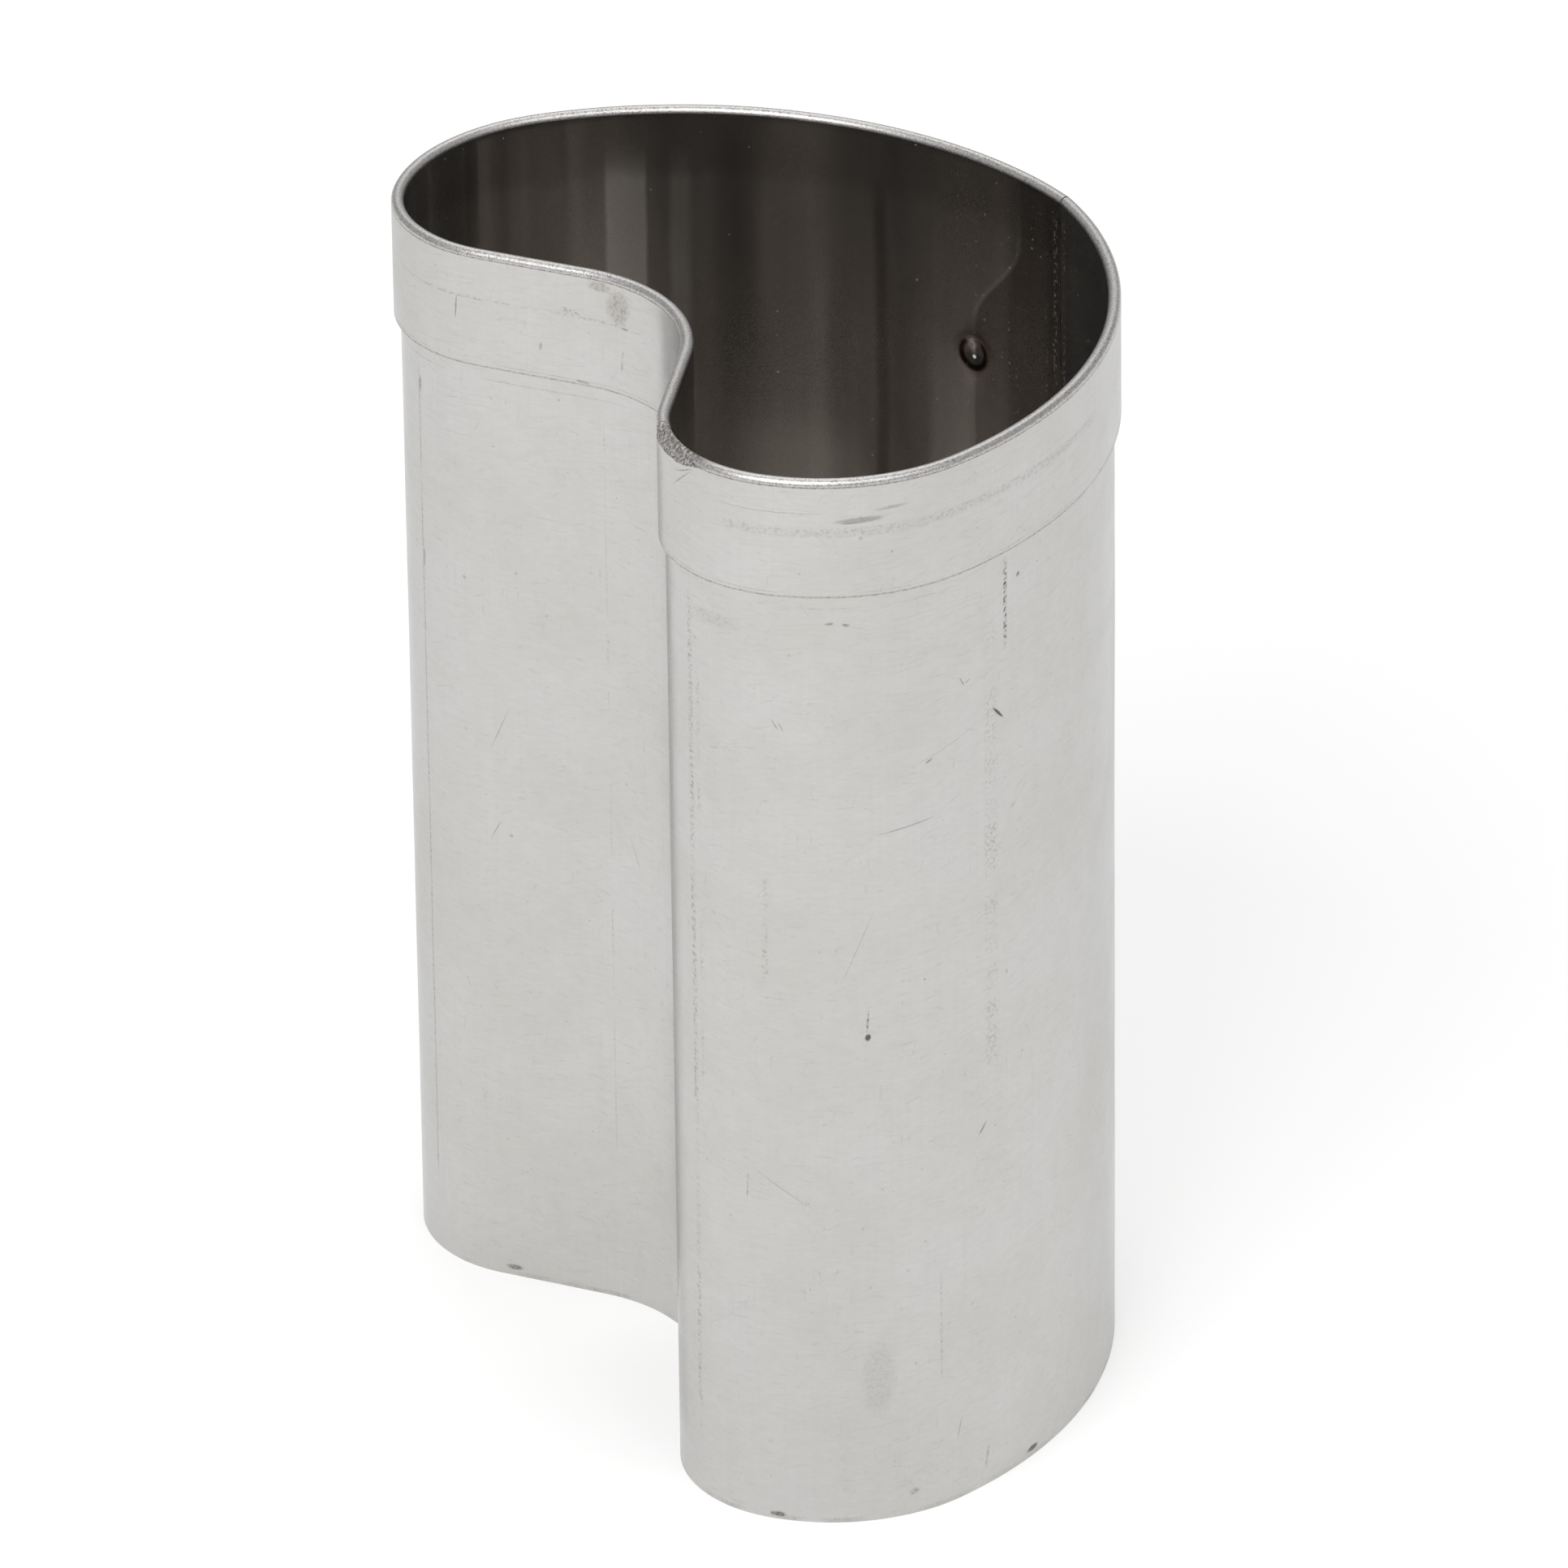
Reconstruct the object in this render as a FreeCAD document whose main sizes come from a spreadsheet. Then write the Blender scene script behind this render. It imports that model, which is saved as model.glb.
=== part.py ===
"""Petit four cutter: one strip of thin stainless sheet, bent to a soft heart.

The strip starts at the rounded point of the heart, runs round one flank, one
lobe, the notch between the lobes, the other lobe and the other flank, passes
outside its own start and ends as a tongue that is spot welded to it. The top
edge is folded outwards and down into a hem, which the hand presses on. The
bottom edge is the plain cut sheet. Millimetres, +Z up; the cutter stands on
its cutting edge at Z = 0, the notch faces -Y and the seam is at +Y.
"""
import FreeCAD, Part
import math
import os

import Sketcher

NODE = "cutter_body"

# The inner face of the strip is the reference: the heart's sizes are those of
# the sweet that the cutter cuts. Millimetres, and degrees where a name says so.
SIZES = [
    ("cutter_height", "60"),
    ("sheet_gauge", "0.3"),
    ("heart_width", "43.5"),
    ("heart_depth", "29.4"),
    ("lobe_radius", "6.65"),
    ("shoulder_radius", "9.6"),
    ("shoulder_start_degrees", "48.5"),
    ("notch_radius", "8.6"),
    ("notch_slope_degrees", "38.3"),
    ("tip_lean_degrees", "3.7"),
    ("tip_bend_radius", "2"),
    ("hem_height", "6.5"),
    ("hem_gap", "0.05"),
    ("lap_gap", "0.05"),
    ("lap_length", "8.6"),
    ("seam_gap", "0.1"),
    ("tongue_clearance", "0.4"),
    ("weld_diameter", "2"),
    ("weld_dent", "0.06"),
    ("weld_from_seam", "6.7"),
    ("weld_lowest", "8.6"),
    ("weld_pitch", "20"),
    ("weld_count", "3"),
]

# Point numbers and axes as the sketches number them.
START, END, CENTRE = range(1, 4)
AXIS_X, AXIS_Y = range(-1, -3, -1)
UP = FreeCAD.Vector(0, 0, 1)


def make_sheet(doc):
    """The driving dimensions, one named cell each."""
    sheet = doc.addObject("Spreadsheet::Sheet", "Sizes")
    for row, (alias, value) in enumerate(SIZES, start=1):
        sheet.set("A%d" % row, alias)
        sheet.set("B%d" % row, value)
        sheet.setAlias("B%d" % row, alias)
    doc.recompute()
    return sheet


def origin_item(body, role):
    """One of the body's own origin planes or axes, by its role."""
    return next(item for item in body.Origin.OriginFeatures if item.Role == role)


def point(x, y):
    """A point of a sketch."""
    return FreeCAD.Vector(x, y, 0)


def polar(centre, radius, direction):
    """The point at a distance and a direction, in radians, from a centre."""
    return point(centre.x + radius * math.cos(direction),
                 centre.y + radius * math.sin(direction))


def direction(centre, target):
    """Direction from one point to another, in radians."""
    return math.atan2(target.y - centre.y, target.x - centre.x)


def arc(centre, radius, start, end):
    """An arc that runs anticlockwise from start to end, in radians."""
    return Part.ArcOfCircle(Part.Circle(centre, UP, radius), start, end)


def mirrored_arc(centre, radius, start, end):
    """The same arc on the other side of the Y axis."""
    return arc(point(-centre.x, centre.y), radius, math.pi - end, math.pi - start)


def touching_radius(place, outward, centre, radius):
    """Radius of the arc that passes a place and touches a smaller circle inside it.

    outward is the unit vector from the arc's centre to the place.
    """
    away = place - centre
    return (away.dot(away) - radius ** 2) / (2 * (away.dot(outward) - radius))


class Draft:
    """A sketch of a body, with short names for what is added to it."""

    def __init__(self, body, name):
        self.sketch = body.newObject("Sketcher::SketchObject", name)
        self.at = {}

    def on_plane(self, plane):
        """Lays the sketch on one of the body's origin planes."""
        self.sketch.AttachmentSupport = [(plane, "")]
        self.sketch.MapMode = "FlatFace"

    def across(self, path, edge):
        """Stands the sketch square across an edge of a path, at the edge's end."""
        self.sketch.AttachmentSupport = [(path, edge)]
        self.sketch.MapMode = "NormalToEdge"
        self.sketch.MapPathParameter = 1

    def draw(self, pieces, construction=False):
        """Adds named pieces."""
        for name, piece in pieces.items():
            self.at[name] = self.sketch.addGeometry(piece, construction)

    def chain(self, names, points, closed=True):
        """Adds straight sides between points, each tied to the next."""
        ends = points[1:] + points[:1]
        self.draw({name: Part.LineSegment(start, end)
                   for name, start, end in zip(names, points, ends)})
        for name, following in zip(names, names[1:] + names[:closed]):
            self.tie("Coincident", name, END, following, START)

    def tie(self, kind, *parts):
        """Adds a constraint; a piece is given by its name."""
        numbers = [self.at.get(part, part) for part in parts]
        return self.sketch.addConstraint(Sketcher.Constraint(kind, *numbers))

    def size(self, name, formula, kind, *parts):
        """Adds a dimension and binds it to the sheet."""
        index = self.tie(kind, *parts)
        self.sketch.renameConstraint(index, name)
        self.sketch.setExpression("Constraints." + name, formula)

    def edges(self, *names):
        """Sub-element names of some of the pieces, in the order given."""
        found = []
        for name in names:
            piece = self.sketch.Geometry[self.at[name]]
            middle = piece.value((piece.FirstParameter + piece.LastParameter) / 2)
            gaps = [edge.distToShape(Part.Vertex(middle))[0]
                    for edge in self.sketch.Shape.Edges]
            found.append("Edge%d" % (gaps.index(min(gaps)) + 1))
        return found


def first_guess(sheet):
    """Where the pieces of the outline lie, for the sketch to start from.

    The sketch's own constraints then hold them there. The names that end in _2
    belong to the side that the strip starts on, at negative X.
    """
    half_depth = sheet.heart_depth / 2
    lobe_radius, shoulder_radius = sheet.lobe_radius, sheet.shoulder_radius
    slope = math.radians(sheet.notch_slope_degrees)
    shoulder_start = -math.radians(sheet.shoulder_start_degrees)
    reach = shoulder_radius - lobe_radius

    shoulder_x = sheet.heart_width / 2 - shoulder_radius
    lobe = point(shoulder_x + reach * math.cos(shoulder_start), lobe_radius - half_depth)
    shoulder = polar(lobe, -reach, shoulder_start)
    straight_end = polar(lobe, lobe_radius, -math.pi / 2 - slope)
    straight_x = sheet.notch_radius * math.sin(slope)
    rise = (straight_end.x - straight_x) * math.tan(slope)
    straight_start = point(straight_x, straight_end.y + rise)
    notch = polar(straight_start, -sheet.notch_radius, math.pi / 2 - slope)

    tip = point(0, half_depth)
    lean = math.pi / 2 - math.radians(sheet.tip_lean_degrees)
    flank_radius = touching_radius(tip, polar(point(0, 0), 1, lean),
                                   shoulder, shoulder_radius)
    flank = polar(tip, -flank_radius, lean)
    flank_start = direction(flank, shoulder)

    tongue = point(-flank.x, flank.y)
    tongue_radius = flank_radius + sheet.sheet_gauge + sheet.lap_gap
    bend_radius = sheet.tip_bend_radius
    bend = point(0, flank.y + math.sqrt((tongue_radius - bend_radius) ** 2 - flank.x ** 2))
    outer_start = polar(shoulder, shoulder_radius, flank_start)
    outer_radius = touching_radius(outer_start, polar(point(0, 0), 1, flank_start),
                                   bend, bend_radius)
    outer = polar(outer_start, -outer_radius, flank_start)
    outer_end = direction(outer, bend)
    tongue_start = direction(tongue, bend)
    tongue_end = tongue_start + sheet.lap_length / tongue_radius
    lap_line_end = polar(tongue, tongue_radius, math.pi - lean)

    notch_arc = (notch, sheet.notch_radius, math.pi / 2 - slope, math.pi / 2)
    lobe_arc = (lobe, lobe_radius, -math.pi / 2 - slope, shoulder_start)
    shoulder_arc = (shoulder, shoulder_radius, shoulder_start, flank_start)
    return {
        "notch": arc(*notch_arc),
        "straight": Part.LineSegment(straight_start, straight_end),
        "lobe": arc(*lobe_arc),
        "shoulder": arc(*shoulder_arc),
        "flank": arc(outer, outer_radius, flank_start, outer_end),
        "bend": arc(bend, bend_radius, outer_end, tongue_start),
        "tongue": arc(tongue, tongue_radius, tongue_start, tongue_end),
        "notch_2": mirrored_arc(*notch_arc),
        "straight_2": Part.LineSegment(point(-straight_start.x, straight_start.y),
                                       point(-straight_end.x, straight_end.y)),
        "lobe_2": mirrored_arc(*lobe_arc),
        "shoulder_2": mirrored_arc(*shoulder_arc),
        "flank_2": mirrored_arc(flank, flank_radius, flank_start, lean),
    }, {"tip_line": Part.LineSegment(tongue, lap_line_end)}


def draw_outline(body, sheet):
    """The strip's inner face seen from above, from its start to its tongue."""
    draft = Draft(body, "outline")
    draft.on_plane(origin_item(body, "XY_Plane"))
    pieces, helpers = first_guess(sheet)
    draft.draw(pieces)
    draft.draw(helpers, construction=True)
    tie = draft.tie

    # The side that passes outside the seam is smooth all the way.
    tie("PointOnObject", "notch", CENTRE, AXIS_Y)
    tie("PointOnObject", "notch", END, AXIS_Y)
    tie("Tangent", "notch", START, "straight", START)
    tie("Tangent", "straight", END, "lobe", START)
    tie("Tangent", "lobe", END, "shoulder", START)
    tie("Tangent", "shoulder", END, "flank", START)
    tie("Tangent", "flank", END, "bend", START)
    tie("Tangent", "bend", END, "tongue", START)
    tie("PointOnObject", "bend", CENTRE, AXIS_Y)

    # The side that the strip starts on mirrors it as far as the shoulder.
    tie("Coincident", "notch", CENTRE, "notch_2", CENTRE)
    tie("PointOnObject", "notch_2", START, AXIS_Y)
    tie("Symmetric", "notch", START, "notch_2", END, AXIS_Y)
    tie("Coincident", "notch_2", END, "straight_2", START)
    tie("Symmetric", "straight", END, "straight_2", END, AXIS_Y)
    tie("Coincident", "straight_2", END, "lobe_2", END)
    tie("Symmetric", "lobe", END, "lobe_2", START, AXIS_Y)
    tie("Equal", "lobe", "lobe_2")
    tie("Coincident", "lobe_2", START, "shoulder_2", END)
    tie("Symmetric", "shoulder", END, "shoulder_2", START, AXIS_Y)
    tie("Equal", "shoulder", "shoulder_2")
    tie("Tangent", "shoulder_2", START, "flank_2", END)

    # The tongue lies on the strip's start, one gauge and the lap's gap outside it.
    tie("Coincident", "tongue", CENTRE, "flank_2", CENTRE)
    tie("Coincident", "tip_line", START, "flank_2", CENTRE)
    tie("PointOnObject", "tip_line", END, "tongue")
    tie("PointOnObject", "flank_2", START, "tip_line")

    half_depth = sheet.heart_depth / 2
    lobe = pieces["lobe"].Center
    shoulder = pieces["shoulder"].Center
    size = draft.size
    size("notch_radius", "Sizes.notch_radius", "Radius", "notch", sheet.notch_radius)
    size("notch_slope", "-Sizes.notch_slope_degrees * 1 deg",
         "Angle", "straight", -math.radians(sheet.notch_slope_degrees))
    size("lobe_radius", "Sizes.lobe_radius", "Radius", "lobe", sheet.lobe_radius)
    size("lobe_inset", "Sizes.heart_depth / 2 - Sizes.lobe_radius",
         "DistanceY", "lobe", CENTRE, AXIS_X, START, -lobe.y)
    size("lobe_across", "Sizes.heart_width / 2 - Sizes.shoulder_radius"
         " + (Sizes.shoulder_radius - Sizes.lobe_radius)"
         " * cos(Sizes.shoulder_start_degrees * 1 deg)",
         "DistanceX", AXIS_X, START, "lobe", CENTRE, lobe.x)
    size("shoulder_radius", "Sizes.shoulder_radius",
         "Radius", "shoulder", sheet.shoulder_radius)
    size("shoulder_across", "Sizes.heart_width / 2 - Sizes.shoulder_radius",
         "DistanceX", AXIS_X, START, "shoulder", CENTRE, shoulder.x)
    size("tip_reach", "Sizes.heart_depth / 2",
         "DistanceY", AXIS_X, START, "flank_2", START, half_depth)
    size("seam_inset", "Sizes.seam_gap / 2",
         "DistanceX", "flank_2", START, AXIS_X, START, sheet.seam_gap / 2)
    size("tip_lean", "(90 + Sizes.tip_lean_degrees) * 1 deg",
         "Angle", "tip_line", math.radians(90 + sheet.tip_lean_degrees))
    size("lap_offset", "Sizes.sheet_gauge + Sizes.lap_gap",
         "Distance", "flank_2", START, "tip_line", END, sheet.sheet_gauge + sheet.lap_gap)
    size("tip_bend_radius", "Sizes.tip_bend_radius",
         "Radius", "bend", sheet.tip_bend_radius)
    size("lap_length", "Sizes.lap_length",
         "DistanceX", "tongue", END, AXIS_X, START, sheet.lap_length)
    return draft


def draw_wall_section(body, outline, sheet):
    """The plain sheet, from the cutting edge up to just under the hem.

    The section stands at the notch, with the strip's inner face at X = 0 and
    its outer side at negative X.
    """
    draft = Draft(body, "wall_section")
    draft.across(outline.sketch, outline.edges("notch")[0])
    gauge = sheet.sheet_gauge
    top = sheet.cutter_height - sheet.hem_height - sheet.tongue_clearance
    draft.chain(["foot", "inner", "top", "outer"],
                [point(-gauge, 0), point(0, 0), point(0, top), point(-gauge, top)])
    draft.tie("Horizontal", "foot")
    draft.tie("Horizontal", "top")
    draft.tie("Vertical", "inner")
    draft.tie("Vertical", "outer")
    draft.tie("Coincident", "inner", START, AXIS_X, START)
    draft.size("gauge", "Sizes.sheet_gauge",
               "DistanceX", "foot", START, "foot", END, gauge)
    draft.size("height",
               "Sizes.cutter_height - Sizes.hem_height - Sizes.tongue_clearance",
               "DistanceY", "inner", START, "inner", END, top)
    return draft


def draw_rim_section(body, outline, sheet):
    """The sheet's top: up, over in a round fold, and down outside as the hem."""
    draft = Draft(body, "rim_section")
    draft.across(outline.sketch, outline.edges("notch")[0])
    gauge, gap = sheet.sheet_gauge, sheet.hem_gap
    low = sheet.cutter_height - sheet.hem_height - sheet.tongue_clearance
    hem_low = sheet.cutter_height - sheet.hem_height
    fold = sheet.cutter_height - gauge - gap / 2
    centre = point(-gauge - gap / 2, fold)
    flap_face = -gauge - gap
    flap_back = flap_face - gauge
    draft.draw({
        "foot": Part.LineSegment(point(-gauge, low), point(0, low)),
        "inner": Part.LineSegment(point(0, low), point(0, fold)),
        "fold_outer": arc(centre, gauge + gap / 2, 0, math.pi),
        "flap_outer": Part.LineSegment(point(flap_back, fold), point(flap_back, hem_low)),
        "flap_foot": Part.LineSegment(point(flap_back, hem_low), point(flap_face, hem_low)),
        "flap_inner": Part.LineSegment(point(flap_face, hem_low), point(flap_face, fold)),
        "fold_inner": arc(centre, gap / 2, 0, math.pi),
        "wall_outer": Part.LineSegment(point(-gauge, fold), point(-gauge, low)),
    })
    tie = draft.tie
    tie("Coincident", "foot", END, "inner", START)
    tie("Tangent", "inner", END, "fold_outer", START)
    tie("Tangent", "fold_outer", END, "flap_outer", START)
    tie("Coincident", "flap_outer", END, "flap_foot", START)
    tie("Coincident", "flap_foot", END, "flap_inner", START)
    tie("Tangent", "flap_inner", END, "fold_inner", END)
    tie("Tangent", "fold_inner", START, "wall_outer", START)
    tie("Coincident", "wall_outer", END, "foot", START)
    tie("Coincident", "fold_outer", CENTRE, "fold_inner", CENTRE)
    tie("Horizontal", "foot")
    tie("Horizontal", "flap_foot")
    for side in ("inner", "flap_outer", "flap_inner", "wall_outer"):
        tie("Vertical", side)
    tie("PointOnObject", "inner", START, AXIS_Y)
    size = draft.size
    size("gauge", "Sizes.sheet_gauge", "DistanceX", "foot", START, "foot", END, gauge)
    size("fold_radius", "Sizes.hem_gap / 2", "Radius", "fold_inner", gap / 2)
    size("low", "Sizes.cutter_height - Sizes.hem_height - Sizes.tongue_clearance",
         "DistanceY", AXIS_X, START, "foot", END, low)
    size("hem_low", "Sizes.cutter_height - Sizes.hem_height",
         "DistanceY", AXIS_X, START, "flap_foot", START, hem_low)
    size("fold", "Sizes.cutter_height - Sizes.sheet_gauge - Sizes.hem_gap / 2",
         "DistanceY", AXIS_X, START, "fold_outer", CENTRE, fold)
    return draft


def sweep(body, name, section, path, edges):
    """Carries a section of the strip along a run of the outline."""
    pipe = body.newObject("PartDesign::AdditivePipe", name)
    pipe.Profile = section.sketch
    pipe.Spine = (path.sketch, edges)
    body.Document.recompute()
    return pipe


def stand_on_tongue(draft, outline):
    """Stands a sketch across the tongue, where the spot welds are.

    The tongue's inner face is at X = 0 and the sheet under it at negative X.
    """
    draft.across(outline.sketch, outline.edges("tongue")[0])
    draft.sketch.setExpression("MapPathParameter",
                               "Sizes.weld_from_seam / Sizes.lap_length")


def draw_weld_axis(draft, reach, height):
    """The line that a spot weld turns about, square to the sheets."""
    draft.draw({"axis": Part.LineSegment(point(-reach, height), point(reach, height))},
               construction=True)
    draft.tie("Symmetric", "axis", START, "axis", END, AXIS_Y)
    draft.size("weld_height", "Sizes.weld_lowest",
               "DistanceY", AXIS_X, START, "axis", END, height)
    draft.size("axis_reach", "Sizes.weld_diameter",
               "DistanceX", AXIS_X, START, "axis", END, reach)


def draw_nugget(body, outline, sheet):
    """Half the section of the metal that joins the two sheets across the lap."""
    draft = Draft(body, "nugget_section")
    stand_on_tongue(draft, outline)
    gauge, gap, height = sheet.sheet_gauge, sheet.lap_gap, sheet.weld_lowest
    radius = sheet.weld_diameter / 2
    draw_weld_axis(draft, sheet.weld_diameter, height)
    low, high = -gap - gauge / 2, gauge / 2
    draft.chain(["foot", "end", "side", "start"],
                [point(low, height), point(high, height),
                 point(high, height + radius), point(low, height + radius)])
    draft.tie("Horizontal", "side")
    draft.tie("Vertical", "end")
    draft.tie("Vertical", "start")
    draft.tie("PointOnObject", "foot", START, "axis")
    draft.tie("PointOnObject", "foot", END, "axis")
    draft.size("into_tongue", "Sizes.sheet_gauge / 2",
               "DistanceX", AXIS_X, START, "foot", END, high)
    draft.size("into_wall", "Sizes.lap_gap + Sizes.sheet_gauge / 2",
               "DistanceX", "foot", START, AXIS_X, START, -low)
    draft.size("radius", "Sizes.weld_diameter / 2",
               "DistanceY", "end", START, "end", END, radius)
    return draft


def draw_dents(body, outline, sheet):
    """Half the sections of the two shallow dished dents that the welder left."""
    draft = Draft(body, "dent_section")
    stand_on_tongue(draft, outline)
    gauge, gap, height = sheet.sheet_gauge, sheet.lap_gap, sheet.weld_lowest
    dent, half = sheet.weld_dent, sheet.weld_diameter / 2
    draw_weld_axis(draft, sheet.weld_diameter, height)
    radius = (half ** 2 + dent ** 2) / (2 * dent)
    rise = math.sqrt(radius ** 2 - (radius - 2 * dent) ** 2)
    for name, face, sign in (("inside", -gap - gauge, 1), ("outside", gauge, -1)):
        bottom = point(face + sign * dent, height)
        mouth = point(face - sign * dent, height)
        rim = point(mouth.x, height + rise)
        centre = point(bottom.x - sign * radius, height)
        turn = math.asin(rise / radius)
        bowl, lid, foot = name + "_bowl", name + "_lid", name + "_foot"
        if sign > 0:
            draft.draw({bowl: arc(centre, radius, 0, turn)})
            bottom_end, rim_end = START, END
        else:
            draft.draw({bowl: arc(centre, radius, math.pi - turn, math.pi)})
            bottom_end, rim_end = END, START
        draft.draw({lid: Part.LineSegment(rim, mouth),
                    foot: Part.LineSegment(mouth, bottom)})
        draft.tie("Coincident", bowl, rim_end, lid, START)
        draft.tie("Coincident", lid, END, foot, START)
        draft.tie("Coincident", foot, END, bowl, bottom_end)
        draft.tie("Vertical", lid)
        draft.tie("PointOnObject", bowl, CENTRE, "axis")
        draft.tie("PointOnObject", foot, START, "axis")
        draft.tie("PointOnObject", foot, END, "axis")
        draft.size(name + "_radius",
                   "(Sizes.weld_diameter ^ 2 / 4 + Sizes.weld_dent ^ 2)"
                   " / (2 * Sizes.weld_dent)", "Radius", bowl, radius)
        draft.size(name + "_depth", "2 * Sizes.weld_dent",
                   "Distance", foot, START, foot, END, 2 * dent)
    draft.size("inside_bottom", "Sizes.lap_gap + Sizes.sheet_gauge - Sizes.weld_dent",
               "DistanceX", "inside_foot", END, AXIS_X, START, gap + gauge - dent)
    draft.size("outside_bottom", "Sizes.sheet_gauge - Sizes.weld_dent",
               "DistanceX", AXIS_X, START, "outside_foot", END, gauge - dent)
    return draft


def turn_about_weld(body, kind, name, section):
    """Turns a half section right round the weld's axis."""
    feature = body.newObject(kind, name)
    feature.Profile = section.sketch
    feature.ReferenceAxis = (section.sketch, ["Axis0"])
    feature.Angle = 360
    body.Document.recompute()
    return feature


def repeat_up_the_seam(body, features):
    """Repeats the lowest spot weld up the seam."""
    pattern = body.newObject("PartDesign::LinearPattern", "spot_welds")
    pattern.Originals = features
    pattern.Direction = (origin_item(body, "Z_Axis"), [""])
    pattern.setExpression("Length", "Sizes.weld_pitch * (Sizes.weld_count - 1)")
    pattern.setExpression("Occurrences", "Sizes.weld_count")
    body.Tip = pattern
    body.Document.recompute()
    return pattern


def make_cutter(doc, sheet):
    """The whole cutter: walls and rim of both sides, then the spot welds."""
    body = doc.addObject("PartDesign::Body", NODE)
    body.Label = NODE
    outline = draw_outline(body, sheet)
    doc.recompute()
    wall = draw_wall_section(body, outline, sheet)
    rim = draw_rim_section(body, outline, sheet)
    doc.recompute()
    side = ("notch", "straight", "lobe", "shoulder", "flank")
    outer_run = outline.edges(*side)
    inner_run = outline.edges(*(name + "_2" for name in side))
    tongue_run = outline.edges("bend", "tongue")
    sweep(body, "outer_wall", wall, outline, outer_run + tongue_run)
    sweep(body, "outer_rim", rim, outline, outer_run)
    sweep(body, "inner_wall", wall, outline, inner_run)
    sweep(body, "inner_rim", rim, outline, inner_run)

    nugget_section = draw_nugget(body, outline, sheet)
    dent_section = draw_dents(body, outline, sheet)
    doc.recompute()
    nugget = turn_about_weld(body, "PartDesign::Revolution", "nugget", nugget_section)
    dents = turn_about_weld(body, "PartDesign::Groove", "dents", dent_section)
    repeat_up_the_seam(body, [nugget, dents])

    # The origin is under the middle of the box, between lobes and lapped tip.
    body.setExpression("Placement.Base.y", "-(Sizes.sheet_gauge + Sizes.lap_gap) / 2")
    doc.recompute()
    return body


def check_document(doc):
    """Stops at any object that did not recompute or has no sound shape."""
    for item in doc.Objects:
        if {"Invalid", "Error"} & set(item.State):
            raise RuntimeError("%s did not recompute: %s" % (item.Name, item.State))


def write_part(body):
    """Writes the body's shape to its own file."""
    shape = body.Shape
    if shape.isNull() or not shape.isValid() or len(shape.Solids) != 1:
        raise RuntimeError("%s is not one sound solid" % body.Label)
    os.makedirs("parts", exist_ok=True)
    shape.exportStep("parts/%s.step" % body.Label)
    print("%s: %.1f cubic mm, %d faces" % (body.Label, shape.Volume, len(shape.Faces)))


def main():
    """Makes the document, checks it and writes the part."""
    doc = FreeCAD.newDocument("petit_four_cutter")
    sheet = make_sheet(doc)
    body = make_cutter(doc, sheet)
    check_document(doc)
    write_part(body)


main()
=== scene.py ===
"""Looks of the petit four cutter, and the studio that it stands in.

The cutter is one strip of thin stainless steel. Its upper edge is folded over to a hem, the
strip is bent to a heart, and its end laps over its start at the heart's point, held by spot
welds. Sizes are millimetres, and the meshes are metres in the frame's own axes: the point of
the heart lies towards +Y, the notch towards -Y, and the cutting edge at z = 0.
"""

from __future__ import annotations

import logging
from dataclasses import dataclass, field, replace
from enum import Enum
from functools import cached_property
from math import acos, atan2, cos, pi, radians, sin, tan
from types import SimpleNamespace

import bpy
from mathutils import Matrix, Vector


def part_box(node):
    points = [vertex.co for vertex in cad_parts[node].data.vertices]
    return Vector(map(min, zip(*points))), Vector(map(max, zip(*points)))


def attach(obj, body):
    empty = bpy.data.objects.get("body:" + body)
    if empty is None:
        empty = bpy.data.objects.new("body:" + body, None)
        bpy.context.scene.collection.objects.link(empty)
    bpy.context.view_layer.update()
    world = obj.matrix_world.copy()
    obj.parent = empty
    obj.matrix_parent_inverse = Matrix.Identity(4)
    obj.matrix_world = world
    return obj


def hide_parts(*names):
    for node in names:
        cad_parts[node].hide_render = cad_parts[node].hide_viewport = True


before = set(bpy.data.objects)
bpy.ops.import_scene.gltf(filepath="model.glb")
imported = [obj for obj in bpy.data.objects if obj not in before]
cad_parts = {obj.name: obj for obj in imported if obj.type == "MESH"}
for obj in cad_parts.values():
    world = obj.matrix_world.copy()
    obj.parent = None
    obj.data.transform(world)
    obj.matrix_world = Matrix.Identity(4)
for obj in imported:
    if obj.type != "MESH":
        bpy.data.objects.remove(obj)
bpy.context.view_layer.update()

MM = 0.001
log = logging.getLogger("cutter")
Colour = tuple[float, float, float]


class Sheet(Enum):
    """Names of the attributes that say where each point lies on the sheet.

    FLAT is its place on the flat sheet, kept while the strip is folded. PLACE is what the
    materials read: how far along, how high, and which face.
    """

    FLAT = "flat"
    PLACE = "sheet_place"


class Face(Enum):
    """The two faces of the strip, as the way that a spot weld pushes them in."""

    INSIDE = 1.0
    OUTSIDE = -1.0


@dataclass(frozen=True)
class Stretch:
    """A part of the strip that is divided evenly.

    Args:
        count: number of divisions.
        length: length in millimetres.
    """

    count: int
    length: float


@dataclass(frozen=True)
class Arc:
    """A round stretch of the outline, seen from above.

    Args:
        centre: centre in millimetres.
        radius: radius in millimetres.
        start: angle at which the stretch starts, in radians.
        end: angle at which it ends, below start where it runs clockwise.
    """

    centre: Vector
    radius: float
    start: float
    end: float

    @property
    def length(self) -> float:
        """Length in millimetres."""
        return self.radius * abs(self.end - self.start)

    def point(self, angle: float) -> Vector:
        """Place on the arc at an angle."""
        return polar(self.centre, self.radius, angle)

    def points(self, step: float) -> list[Vector]:
        """Places along the arc, without its last.

        Args:
            step: longest distance between two places, in millimetres.

        Returns:
            The places, in the order of travel.
        """
        count = max(2, int(self.length / step) + 1)
        turn = (self.end - self.start) / count
        return [self.point(self.start + turn * i) for i in range(count)]


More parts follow.
